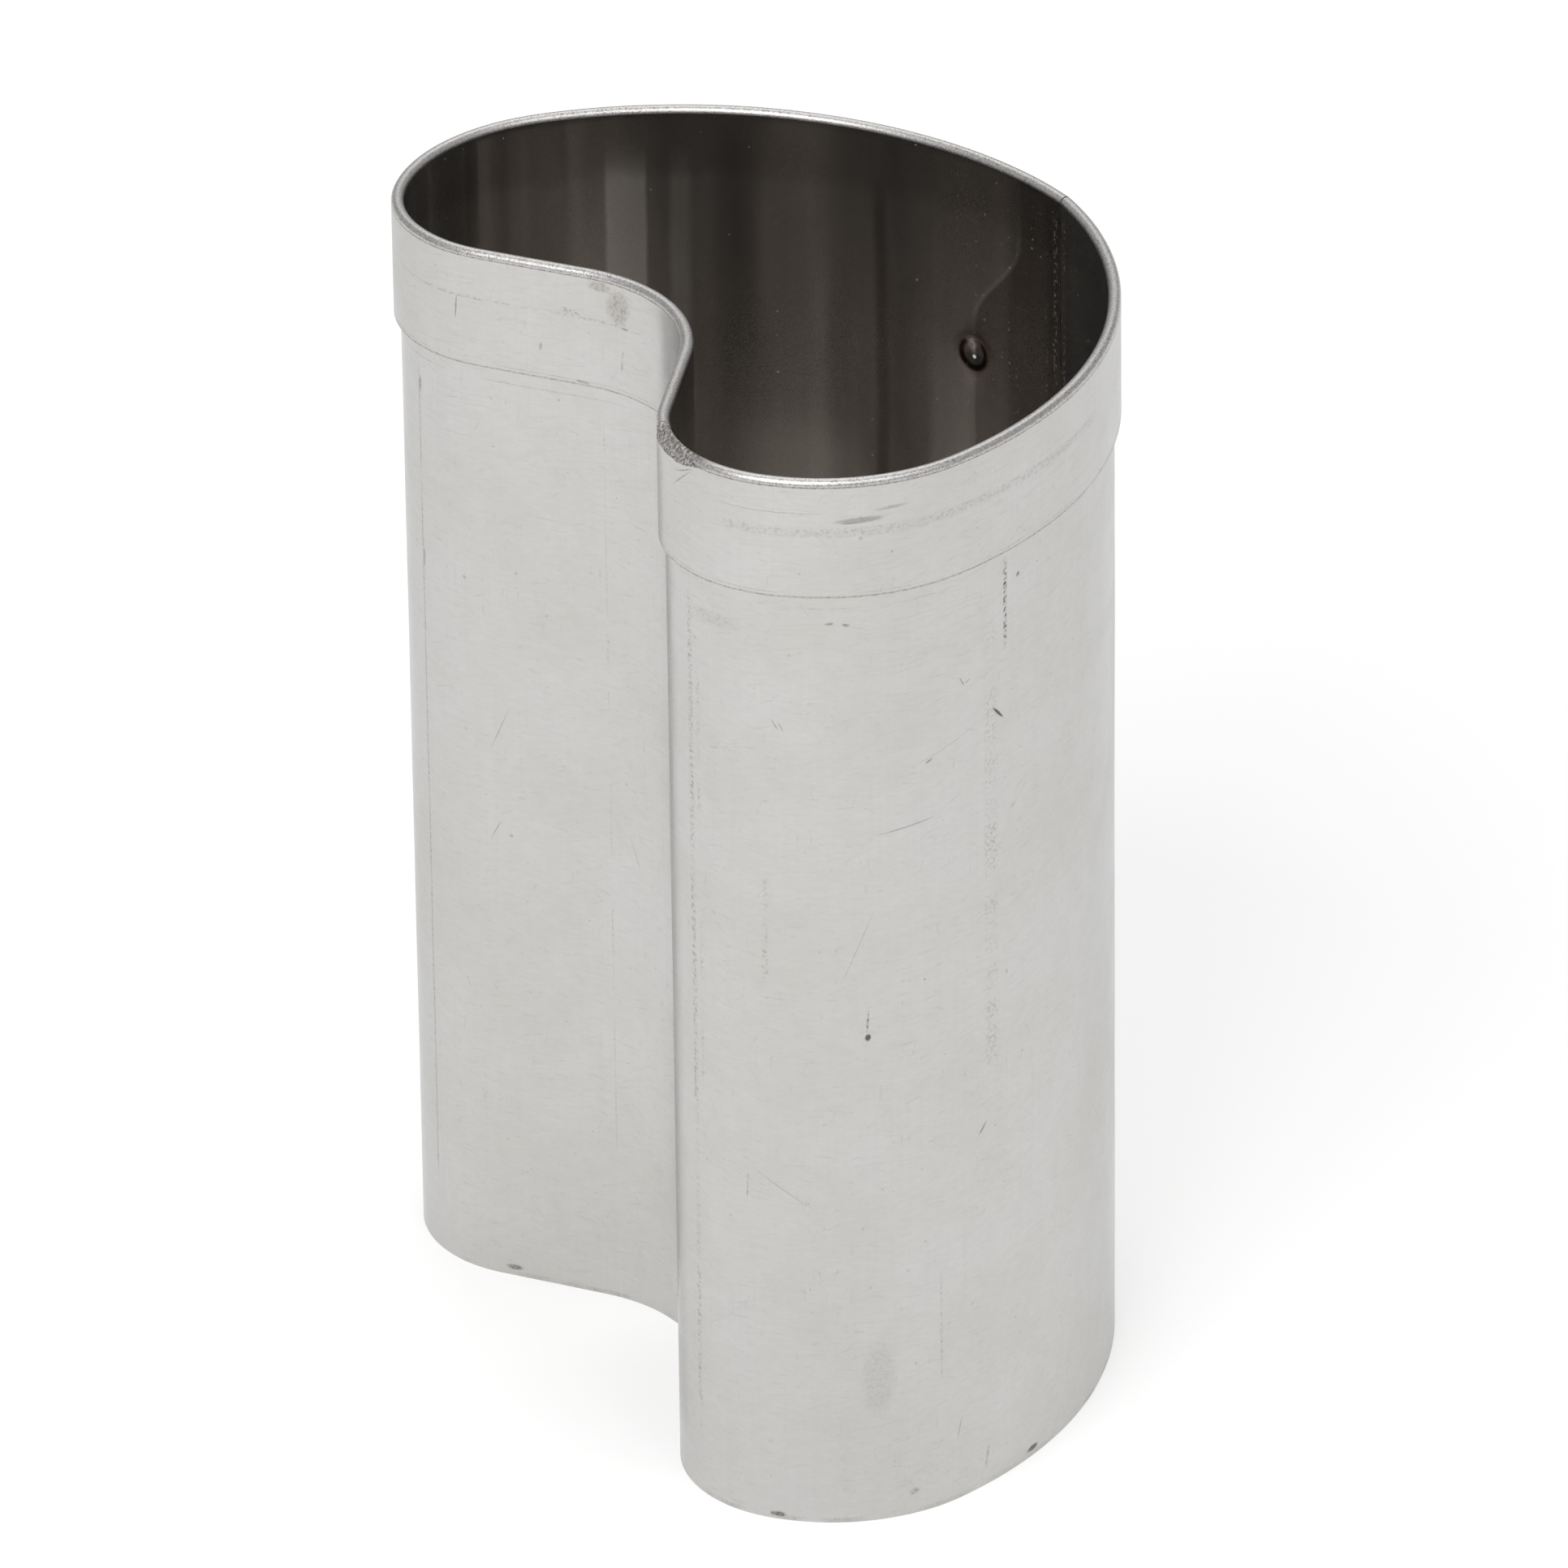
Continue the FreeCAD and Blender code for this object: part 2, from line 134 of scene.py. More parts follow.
def polar(centre: Vector, radius: float, angle: float) -> Vector:
    """Place at a distance and an angle from a centre."""
    return centre + radius * Vector((cos(angle), sin(angle)))


def direction(a: Vector, b: Vector) -> float:
    """Angle of the way from one place to another, in radians."""
    return atan2(b.y - a.y, b.x - a.x)


def mirrored(place: Vector) -> Vector:
    """Place on the other side of the heart's middle plane."""
    return Vector((-place.x, place.y))


def touching_radius(place: Vector, angle: float, centre: Vector, radius: float) -> float:
    """Radius of the arc through a place that touches a circle from outside of it.

    Args:
        place: place on the arc.
        angle: direction of the arc's outward normal there.
        centre: centre of the circle.
        radius: radius of the circle.

    Returns:
        The arc's radius in millimetres.
    """
    away = place - centre
    outward = Vector((cos(angle), sin(angle)))
    return (away.dot(away) - radius**2) / (2 * (away.dot(outward) - radius))


@dataclass(frozen=True)
class StripSizes:
    """Sizes of the strip in millimetres.

    They are those of the solid part, apart from the seam: there the wall ends flush with its
    own start, and the tongue steps out over it. The pinch is the crushed part of the rim.
    """

    height: float
    heart_width: float
    gauge: float = 0.3
    hem_gap: float = 0.05
    hem_height: float = 6.5
    heart_depth: float = 29.4
    lobe_radius: float = 6.65
    shoulder_radius: float = 9.6
    shoulder_start: float = -radians(48.5)
    notch_radius: float = 8.6
    notch_slope: float = radians(38.3)
    tip_lean: float = radians(3.7)
    step_length: float = 0.3
    lap_gap: float = 0.05
    lap_length: float = 8.6
    seam_gap: float = 0.06
    tongue_clearance: float = 0.4
    weld_diameter: float = 2.0
    weld_dent: float = 0.06
    weld_from_seam: float = 6.7
    weld_lowest: float = 8.6
    weld_pitch: float = 20.0
    weld_count: int = 3
    pinch_place: float = 77.75
    pinch_length: float = 5.1

    @classmethod
    def from_box(cls, low: Vector, high: Vector) -> StripSizes:
        """Sizes for a solid part of which the box is known.

        Args:
            low: lowest corner in metres.
            high: highest corner in metres.

        Returns:
            The sizes, with the height and the width taken from the box.
        """
        hem = 2 * cls.gauge + cls.hem_gap
        width = (high[0] - low[0]) / MM
        return cls(height=(high[2] - low[2]) / MM, heart_width=width - 2 * hem)

    @property
    def hem_thickness(self) -> float:
        """Thickness of the folded rim."""
        return 2 * self.gauge + self.hem_gap

    @property
    def fold_height(self) -> float:
        """Height at which the wall starts to turn over."""
        return self.height - self.hem_thickness / 2

    @property
    def fold_radius(self) -> float:
        """Radius of the fold at the middle of the sheet."""
        return (self.gauge + self.hem_gap) / 2

    @property
    def foot_height(self) -> float:
        """Height of the hem's lower edge."""
        return self.height - self.hem_height

    @property
    def flap_length(self) -> float:
        """Length of the flat part of the hem's flap."""
        return self.fold_height - self.foot_height

    @property
    def tongue_height(self) -> float:
        """Height at which the tongue is cut, under the hem."""
        return self.foot_height - self.tongue_clearance

    @property
    def shift(self) -> Vector:
        """Way from the outline's own middle to the middle of the frame."""
        return Vector((0.0, -(self.gauge + self.lap_gap) / 2))


class Outline:
    """The line that the strip's inner face follows, once round from the seam.

    The hemmed wall ends flush with the strip's start. Under the hem the tongue carries on
    from it, steps out over the start and lies on it.
    """

    # Longest step between two places, and how far the tongue runs on before it steps out.
    STEP = 0.15
    LEAD = 0.03

    def __init__(self, sizes: StripSizes) -> None:
        """Works out the arcs of the wall and of the tongue.

        Args:
            sizes: sizes of the strip.
        """
        self.sizes = sizes
        s = sizes
        half_depth = s.heart_depth / 2
        shoulder_x = s.heart_width / 2 - s.shoulder_radius
        reach = s.shoulder_radius - s.lobe_radius
        lobe = Vector((shoulder_x + reach * cos(s.shoulder_start), s.lobe_radius - half_depth))
        shoulder = polar(lobe, -reach, s.shoulder_start)
        straight_end = polar(lobe, s.lobe_radius, -pi / 2 - s.notch_slope)
        straight_x = s.notch_radius * sin(s.notch_slope)
        rise = (straight_end.x - straight_x) * tan(s.notch_slope)
        straight_start = Vector((straight_x, straight_end.y + rise))
        notch = polar(straight_start, -s.notch_radius, pi / 2 - s.notch_slope)
        tip = Vector((0.0, half_depth))
        lean = pi / 2 - s.tip_lean
        flank_radius = touching_radius(tip, lean, shoulder, s.shoulder_radius)
        flank = polar(tip, -flank_radius, lean)
        flank_start = direction(flank, shoulder)
        tongue_centre = mirrored(flank)
        tongue_radius = flank_radius + s.gauge + s.lap_gap
        seam = pi / 2 + (s.seam_gap / 2 - flank.x) / flank_radius
        lead = self.LEAD / flank_radius
        tongue_start = seam + s.step_length / tongue_radius
        tongue_end = acos((-s.lap_length - tongue_centre.x) / tongue_radius)
        notch_turn = s.notch_slope
        lobe_turn = pi / 2 + s.notch_slope
        self.wall = [
            Arc(tongue_centre, flank_radius, seam, pi - flank_start),
            Arc(mirrored(shoulder), s.shoulder_radius, pi - flank_start, pi - s.shoulder_start),
            Arc(mirrored(lobe), s.lobe_radius, pi - s.shoulder_start, pi + lobe_turn),
            Arc(notch, s.notch_radius, pi / 2 + notch_turn, pi / 2 - notch_turn),
            Arc(lobe, s.lobe_radius, -lobe_turn, s.shoulder_start),
            Arc(shoulder, s.shoulder_radius, s.shoulder_start, flank_start),
            Arc(flank, flank_radius, flank_start, pi - seam),
        ]
        self.tongue = [
            Arc(flank, flank_radius, pi - seam, pi - seam + lead),
            Arc(tongue_centre, tongue_radius, tongue_start, tongue_end),
        ]
        self.wall_length = self.run(self.wall)
        self.tongue_length = self.run(self.tongue)
        weld_angle = seam + s.weld_from_seam / flank_radius
        self.tongue_weld = self.tongue_length - tongue_radius * (tongue_end - weld_angle)

    def places(self, arcs: list[Arc]) -> list[Vector]:
        """Places along some arcs, with straight lines between those that don't meet.

        Args:
            arcs: the arcs, in the order of travel.

        Returns:
            The places, in that order.
        """
        found = []
        for arc in arcs:
            found += arc.points(self.STEP)
        return found + [arcs[-1].point(arcs[-1].end)]

    def run(self, arcs: list[Arc]) -> float:
        """Length along some arcs and the straight lines between them, in millimetres."""
        found = self.places(arcs)
        return sum((b - a).length for a, b in zip(found, found[1:]))

    def path(self, arcs: list[Arc]) -> bpy.types.Object:
        """Makes a line as an object of edges, in metres.

        Args:
            arcs: the arcs that it follows.

        Returns:
            The object.
        """
        line = self.places(arcs)
        mesh = bpy.data.meshes.new("outline")
        spots = [(MM * (p + self.sizes.shift)).to_3d() for p in line]
        mesh.from_pydata(spots, [(i, i + 1) for i in range(len(spots) - 1)], [])
        piece = bpy.data.objects.new("outline", mesh)
        bpy.context.collection.objects.link(piece)
        return piece


class Wire:
    """An output of a node. A sum written on it adds the node that works it out."""

    def __init__(self, graph: Graph, socket: bpy.types.NodeSocket) -> None:
        """Keeps the node's output and the graph that it is in.

        Args:
            graph: the graph that the node belongs to.
            socket: the output.
        """
        self.graph = graph
        self.socket = socket

    def __add__(self, other: Value) -> Wire:
        """This number and another."""
        return self.graph.math("ADD", self, other)

    def __radd__(self, other: Value) -> Wire:
        """Another number and this one."""
        return self.graph.math("ADD", other, self)

    def __sub__(self, other: Value) -> Wire:
        """This number less another."""
        return self.graph.math("SUBTRACT", self, other)

    def __rsub__(self, other: Value) -> Wire:
        """Another number less this one."""
        return self.graph.math("SUBTRACT", other, self)

    def __mul__(self, other: Value) -> Wire:
        """This number times another."""
        return self.graph.math("MULTIPLY", self, other)

    def __rmul__(self, other: Value) -> Wire:
        """Another number times this one."""
        return self.graph.math("MULTIPLY", other, self)

    def __truediv__(self, other: Value) -> Wire:
        """This number over another."""
        return self.graph.math("DIVIDE", self, other)

    def __abs__(self) -> Wire:
        """This number without its sign."""
        return self.graph.math("ABSOLUTE", self)

    def __lt__(self, other: Value) -> Wire:
        """1 where this number is below another, and otherwise 0."""
        return self.graph.math("LESS_THAN", self, other)

    def __gt__(self, other: Value) -> Wire:
        """1 where this number is above another, and otherwise 0."""
        return self.graph.math("GREATER_THAN", self, other)

    def least(self, other: Value) -> Wire:
        """The smaller one of this number and another."""
        return self.graph.math("MINIMUM", self, other)

    def most(self, other: Value) -> Wire:
        """The larger one of this number and another."""
        return self.graph.math("MAXIMUM", self, other)

    def fit(self, low: Value, high: Value, to_low: Value = 0.0, to_high: Value = 1.0,
            kind: str = "LINEAR") -> Wire:
        """Moves this number from one range to another and holds it there.

        Args:
            low: start of its range.
            high: end of its range.
            to_low: result at the start.
            to_high: result at the end.
            kind: how the result runs between them.

        Returns:
            The result.
        """
        return self.graph.result("ShaderNodeMapRange", self, low, high, to_low, to_high,
                                 interpolation_type=kind)

    def ease(self, low: Value, high: Value, to_low: Value = 0.0, to_high: Value = 1.0) -> Wire:
        """Moves this number as fit does, with a soft start and end."""
        return self.fit(low, high, to_low, to_high, "SMOOTHSTEP")


Value = Wire | bpy.types.NodeSocket | float | int | bool | tuple | str | None


class Graph:
    """Adds nodes to a node tree and links them."""

    def __init__(self, tree: bpy.types.NodeTree) -> None:
        """Keeps the tree that the nodes go in.

        Args:
            tree: the node tree, of geometry or of a material.
        """
        self.tree = tree

    def feed(self, socket: bpy.types.NodeSocket, value: Value) -> None:
        """Links a socket to another one, or sets its value.

        Args:
            socket: the input.
            value: what it takes; None leaves it as it is.
        """
        if isinstance(value, Wire):
            value = value.socket
        if isinstance(value, bpy.types.NodeSocket):
            self.tree.links.new(value, socket)
        elif value is not None:
            socket.default_value = value

    def add(self, kind: str, *values: Value, **settings: Value) -> bpy.types.Node:
        """Adds a node.

        Args:
            kind: the node's type.
            values: what its enabled inputs take, in order.
            settings: the node's own options.

        Returns:
            The node.
        """
        node = self.tree.nodes.new(kind)
        for name, value in settings.items():
            setattr(node, name, value)
        live = [s for s in node.inputs if s.enabled]
        for socket, value in zip(live, values):
            self.feed(socket, value)
        return node

    def result(self, kind: str, *values: Value, output: str = "", **settings: Value) -> Wire:
        """Adds a node.

        Args:
            kind: the node's type.
            values: what its enabled inputs take, in order.
            output: name of the output that is wanted, by default the first.
            settings: the node's own options.

        Returns:
            The output.
        """
        outputs = self.add(kind, *values, **settings).outputs
        return Wire(self, [s for s in outputs if s.enabled and output in ("", s.name)][0])

    def math(self, operation: str, *values: Value) -> Wire:
        """Result of a sum on numbers."""
        return self.result("ShaderNodeMath", *values, operation=operation)

    def vector(self, operation: str, *values: Value) -> Wire:
        """Result of a sum on vectors."""
        return self.result("ShaderNodeVectorMath", *values, operation=operation)

    def combine(self, x: Value = 0.0, y: Value = 0.0, z: Value = 0.0) -> Wire:
        """Vector of three numbers."""
        return self.result("ShaderNodeCombineXYZ", x, y, z)

    def split(self, vector: Value) -> list[Wire]:
        """The three numbers of a vector."""
        return [Wire(self, s) for s in self.add("ShaderNodeSeparateXYZ", vector).outputs]

    def distance(self, x: Value, y: Value) -> Wire:
        """Distance of a place in a plane from the plane's origin."""
        return self.math("SQRT", self.math("POWER", x, 2.0) + self.math("POWER", y, 2.0))

    def turned(self, vector: Value, degrees: Value) -> Wire:
        """Vector turned back about Z by an angle in degrees."""
        return self.result("ShaderNodeVectorRotate", vector, None, degrees * (-pi / 180),
                           rotation_type="Z_AXIS")

    def noise(self, vector: Value, scale: float = 1.0, detail: float = 2.0) -> Wire:
        """Smooth random numbers from 0 to 1 over a vector."""
        return self.result("ShaderNodeTexNoise", vector, scale, detail, noise_dimensions="3D")


def label(name: str) -> str:
    """A socket's name, from the name that this script uses for it."""
    return name.replace("_", " ").title()


class Group(Graph):
    """A node group with named inputs and outputs."""

    def __init__(self, name: str, kind: str, inputs: dict[str, tuple[str, Value]],
                 output: str, output_kind: str) -> None:
        """Makes the group with its inputs and its output.

        Args:
            name: the group's name.
            kind: type of its tree.
            inputs: each input, with its socket type and its value.
            output: name of its output.
            output_kind: socket type of its output.
        """
        super().__init__(bpy.data.node_groups.new(name, kind))
        sockets = self.tree.interface
        for title, (socket, value) in inputs.items():
            item = sockets.new_socket(name=label(title), in_out="INPUT", socket_type="NodeSocket" + socket)
            if value is not None:
                item.default_value = value
        sockets.new_socket(name=output, in_out="OUTPUT", socket_type="NodeSocket" + output_kind)
        entry = self.tree.nodes.new("NodeGroupInput").outputs
        self.given = SimpleNamespace(**{title: Wire(self, entry[label(title)]) for title in inputs})
        self.exit = self.tree.nodes.new("NodeGroupOutput").inputs[0]

    def give(self, value: Value) -> None:
        """Links the group's output."""
        self.feed(self.exit, value)


class FoldedStrip(Group):
    """Geometry nodes that fold and bend a flat strip along a line.

    The strip starts as a thin flat box. Its columns are dealt out along the line, and its
    rows up the wall, round the fold and down the flap.
    """

    NUMBERS = {
        "start": 0.0, "gauge": 0.3, "fold_height": 59.675, "fold_radius": 0.175,
        "waviness": 0.05, "wave_length": 9.0, "foot_raggedness": 0.03,
        "weld_place": 6.7, "weld_lowest": 8.6, "weld_pitch": 20.0, "weld_diameter": 2.0,
        "weld_dent": 0.06, "weld_count": 3.0, "weld_face": 1.0,
        "pinch_place": 77.75, "pinch_length": 5.1, "pinch_depth": 0.13, "crumple": 0.22,
        "seed": 4.0,
    }
    FINISHES = ("outside", "inside", "rim", "edge")

    # A spot weld's dish, the lip round it and the knob in it, as shares of its radius and depth.
    DISH_EDGE = (0.45, 0.9)
    LIP_WIDTH, LIP_RISE = 0.3, 0.25
    KNOB_WIDTH, KNOB_RISE = 0.3, 0.4

    # Where the crushing sets in and fades out, as shares of its length, the turn and the height
    # over which the flap swells beside it, and the slope of its facet.
    CRUSH_START, CRUSH_END = (-0.51, -0.475), (0.0, 0.5)
    SWELL_TURN, SWELL_HEIGHT = (0.5, 3.0), (57.0, 59.3)
    FACET_START, FACET_SLOPE = 0.1, 1.15

    # Part of the flap's length over which its foot gets ragged, and how much longer the waves
    # are up the sheet than along it, as the share of the height that they read.
    RAGGED_DROP = (4.5, 6.2)
    WAVE_SQUASH = 0.45

    # Share of the gauge beyond which a place is on a face, and the turn at which the fold starts.
    SKIN = 0.3
    TURNED = 0.01

    def __init__(self, columns: list[Stretch], rows: list[Stretch]) -> None:
        """Builds the sheet, folds it and bends it along the outline.

        Args:
            columns: divisions along the strip.
            rows: divisions across the strip.
        """
        inputs = {"outline": ("Geometry", None)}
        inputs.update({name: ("Float", value) for name, value in self.NUMBERS.items()})
        inputs.update({name: ("Material", None) for name in self.FINISHES})
        super().__init__("folded strip", "GeometryNodeTree", inputs, "Strip", "Geometry")
        given = self.given
        flat, travelled, up, outward = self.flat_strip(columns, rows)
        along = travelled + given.start
        past = up - given.fold_height
        turn = (past / given.fold_radius).most(0.0).least(pi)
        drop = (past - given.fold_radius * pi).most(0.0)
        arm = given.fold_radius - outward
        middle = given.fold_radius + given.gauge * 0.5
        out = middle - arm * self.math("COSINE", turn)
        height = up.least(given.fold_height) + arm * self.math("SINE", turn) - drop
        out = out + self.weld_dents(along, height, outward)
        out, height = self.pinch(along, up, turn, out, height)
        height = height + self.ragged_foot(along, drop)
        out = out + self.waves(along, height)
        strip = self.bend(flat, travelled, out, height)
        place = self.combine(along, height, self.math("SIGN", outward))
        self.finish(self.keep(strip, Sheet.PLACE, place), turn, outward)

    def keep(self, strip: Value, name: Sheet, vector: Value) -> Wire:
        """The strip, with a vector kept at each of its points."""
        return self.result("GeometryNodeStoreNamedAttribute", strip, True, name.value, vector,
                           data_type="FLOAT_VECTOR", domain="POINT")

    def dealt(self, index: Value, stretches: list[Stretch]) -> Wire:
        """Distance in millimetres of a numbered column or row.

        Args:
            index: the column's or row's number.
            stretches: the divisions that it is one of.

        Returns:
            The distance from the first one.
        """
        total, first = None, 0
        for stretch in stretches:
            last = first + stretch.count
            part = index.fit(float(first), float(last), 0.0, stretch.length)
            total = part if total is None else total + part
            first = last
        return total

    def flat_strip(self, columns: list[Stretch], rows: list[Stretch]) -> tuple[Wire, Wire, Wire, Wire]:
        """Makes the flat box.

        Args:
            columns: divisions along the strip.
            rows: divisions across the strip.

        Returns:
            The box, and each point's place along, across and through the sheet.
        """
        wide = sum(s.count for s in columns)
        high = sum(s.count for s in rows)
        box = self.result("GeometryNodeMeshCube", (float(wide), float(high), 1.0), wide + 1, high + 1, 2)
        x, y, z = self.split(self.result("GeometryNodeInputPosition"))
        column = self.dealt(x + wide / 2, columns)
        row = self.dealt(y + high / 2, rows)
        kept = self.keep(box, Sheet.FLAT, self.combine(column, row, z))
        flat = self.result("GeometryNodeInputNamedAttribute", Sheet.FLAT.value, data_type="FLOAT_VECTOR")
        along, up, side = self.split(flat)
        return kept, along, up, side * self.given.gauge

    def weld_dents(self, along: Wire, height: Wire, outward: Wire) -> Wire:
        """How far the spot welds push one face of the sheet outwards, in millimetres.

        Args:
            along: place along the strip.
            height: height above the cutting edge.
            outward: place through the sheet, above 0 outside.

        Returns:
            The push.
        """
        given = self.given
        above = self.math("PINGPONG", height - given.weld_lowest, given.weld_pitch * 0.5)
        far = self.distance(along - given.weld_place, above) / (given.weld_diameter * 0.5)
        dish = far.ease(*self.DISH_EDGE, 1.0, 0.0)
        lip = abs(far - 1.0).ease(0.0, self.LIP_WIDTH, -self.LIP_RISE, 0.0)
        knob = far.ease(0.0, self.KNOB_WIDTH, -self.KNOB_RISE, 0.0)
        struck = outward * (given.weld_face * -1.0) > 0.0
        low = height > given.weld_lowest - given.weld_diameter
        high = height < given.weld_lowest + given.weld_pitch * (given.weld_count - 0.75)
        depth = given.weld_dent * given.weld_face
        return (dish + (lip + knob)) * depth * (struck * (low * high))

    def pinch(self, along: Wire, up: Wire, turn: Wire, out: Wire, height: Wire) -> tuple[Wire, Wire]:
        """Crushes the rim to a rough sloping facet where it turns out of the notch.

        Args:
            along: place along the strip.
            up: place across the strip.
            turn: angle that the sheet has turned through in the fold.
            out: distance outwards from the outline.
            height: height above the cutting edge.

        Returns:
            The distance outwards and the height, changed where the rim is crushed.
        """
        given = self.given
        way = (along - given.pinch_place) / given.pinch_length
        here = way.ease(*self.CRUSH_START) * way.ease(*self.CRUSH_END, 1.0, 0.0)
        swell = given.pinch_depth * here * turn.ease(*self.SWELL_TURN, 0.0, 0.5)
        out = out + swell * height.ease(*self.SWELL_HEIGHT)
        top = given.fold_height + (given.fold_radius + given.gauge * 0.5)
        facet = top - (out - self.FACET_START) * self.FACET_SLOPE
        crumple = self.noise(self.combine(along, up, given.seed), 2.2, 3.0) - 0.5
        facet = facet + crumple * given.crumple
        cut = height - height.least(facet)
        return out, height - cut * here

    def ragged_foot(self, along: Wire, drop: Wire) -> Wire:
        """How far the hem's lower edge wanders up and down, in millimetres.

        Args:
            along: place along the strip.
            drop: how far down the flap.

        Returns:
            The way up.
        """
        given = self.given
        wander = self.noise(self.combine(along, 0.0, given.seed), 0.35, 3.0) - 0.5
        return wander * drop.fit(*self.RAGGED_DROP) * given.foot_raggedness

    def waves(self, along: Wire, height: Wire) -> Wire:
        """How far the sheet stands out of true, in millimetres.

        Args:
            along: place along the strip.
            height: height above the cutting edge.

        Returns:
            The way outwards.
        """
        given = self.given
        spot = self.vector("DIVIDE", self.combine(along, height * self.WAVE_SQUASH, given.seed),
                           self.combine(given.wave_length, given.wave_length, 1.0))
        return (self.noise(spot, 1.0, 2.0) - 0.5) * (given.waviness * 2.0)

    def bend(self, flat: Wire, travelled: Wire, out: Wire, height: Wire) -> Wire:
        """Bends the folded strip along the outline.

        Args:
            flat: the flat box.
            travelled: distance along this part's own line in millimetres.
            out: distance outwards from the outline.
            height: height above the cutting edge.

        Returns:
            The strip in its place, in metres.
        """
        curve = self.result("GeometryNodeMeshToCurve", self.given.outline)
        sample = self.add("GeometryNodeSampleCurve", mode="LENGTH", use_all_curves=True)
        self.feed(sample.inputs["Curves"], curve)
        self.feed(sample.inputs["Length"], travelled * MM)
        across = self.vector("CROSS_PRODUCT", sample.outputs["Tangent"], (0.0, 0.0, 1.0))
        away = out * MM
        side = self.vector("MULTIPLY", self.vector("NORMALIZE", across), self.combine(away, away, away))
        lift = self.combine(0.0, 0.0, height * MM)
        place = self.vector("ADD", sample.outputs["Position"], self.vector("ADD", side, lift))
        return self.result("GeometryNodeSetPosition", flat, True, place)

    def finish(self, strip: Wire, turn: Wire, outward: Wire) -> None:
        """Gives each face its finish and makes the result real.

        Args:
            strip: the strip in its place.
            turn: angle that the sheet has turned through in the fold.
            outward: place through the sheet, above 0 outside.
        """
        given = self.given
        inner = outward < given.gauge * -self.SKIN
        cut = abs(outward) < given.gauge * self.SKIN
        wall = turn < self.TURNED
        rim = (turn > 0.0) * (1.0 - (turn > pi - self.TURNED))
        strip = self.result("GeometryNodeRealizeInstances", strip)
        for chosen, finish in ((True, given.outside), (inner * wall, given.inside),
                               (inner * rim, given.rim), (cut, given.edge)):
            strip = self.result("GeometryNodeSetMaterial", strip, chosen, finish)
        self.give(self.result("GeometryNodeRemoveAttribute", strip, Sheet.FLAT.value))


def set_inputs(modifier: bpy.types.Modifier, values: dict[str, Value]) -> None:
    """Sets a modifier's inputs by the identifiers of their sockets.

    Args:
        modifier: a geometry nodes modifier with its group in place.
        values: value of each input, by the name that this script uses for it.
    """
    titled = {label(name): value for name, value in values.items()}
    for item in modifier.node_group.interface.items_tree:
        if item.item_type == "SOCKET" and item.in_out == "INPUT" and item.name in titled:
            modifier[item.identifier] = titled[item.name]


@dataclass(frozen=True)
class Mark:
    """One mark of use on the outside of the strip.

    Args:
        along: place along the strip from the seam, in millimetres.
        height: height above the cutting edge.
        length: length of the mark.
        width: width of the mark.
        tilt: angle from level, in degrees.
        strength: how dark it is, from 0 to 1.
        dots: how much it breaks up into dots, from 0 to 1.
        stain: True where it is brown.
    """

    along: float
    height: float
    length: float
    width: float
    tilt: float = 0.0
    strength: float = 0.5
    dots: float = 0.3
    stain: bool = False


@dataclass(frozen=True)
class DirtAndShadeLine:
    """A thin broken line of dirt that runs round the strip or up it; a wide unbroken one is a band of
    painted shade.

    Args:
        level: True where it runs round, False where it runs up.
        at: its height, or its place along the strip, in millimetres.
        start: where it starts.
        end: where it ends.
        width: width of the line.
        cover: share of its length that shows.
        strength: how dark it is, from 0 to 1.
        dots: how much it breaks up into dots, from 0 to 1.
        stain: True where it is brown.
    """

    level: bool
    at: float
    start: float
    end: float
    width: float
    cover: float
    strength: float
    dots: float = 0.6
    stain: bool = False


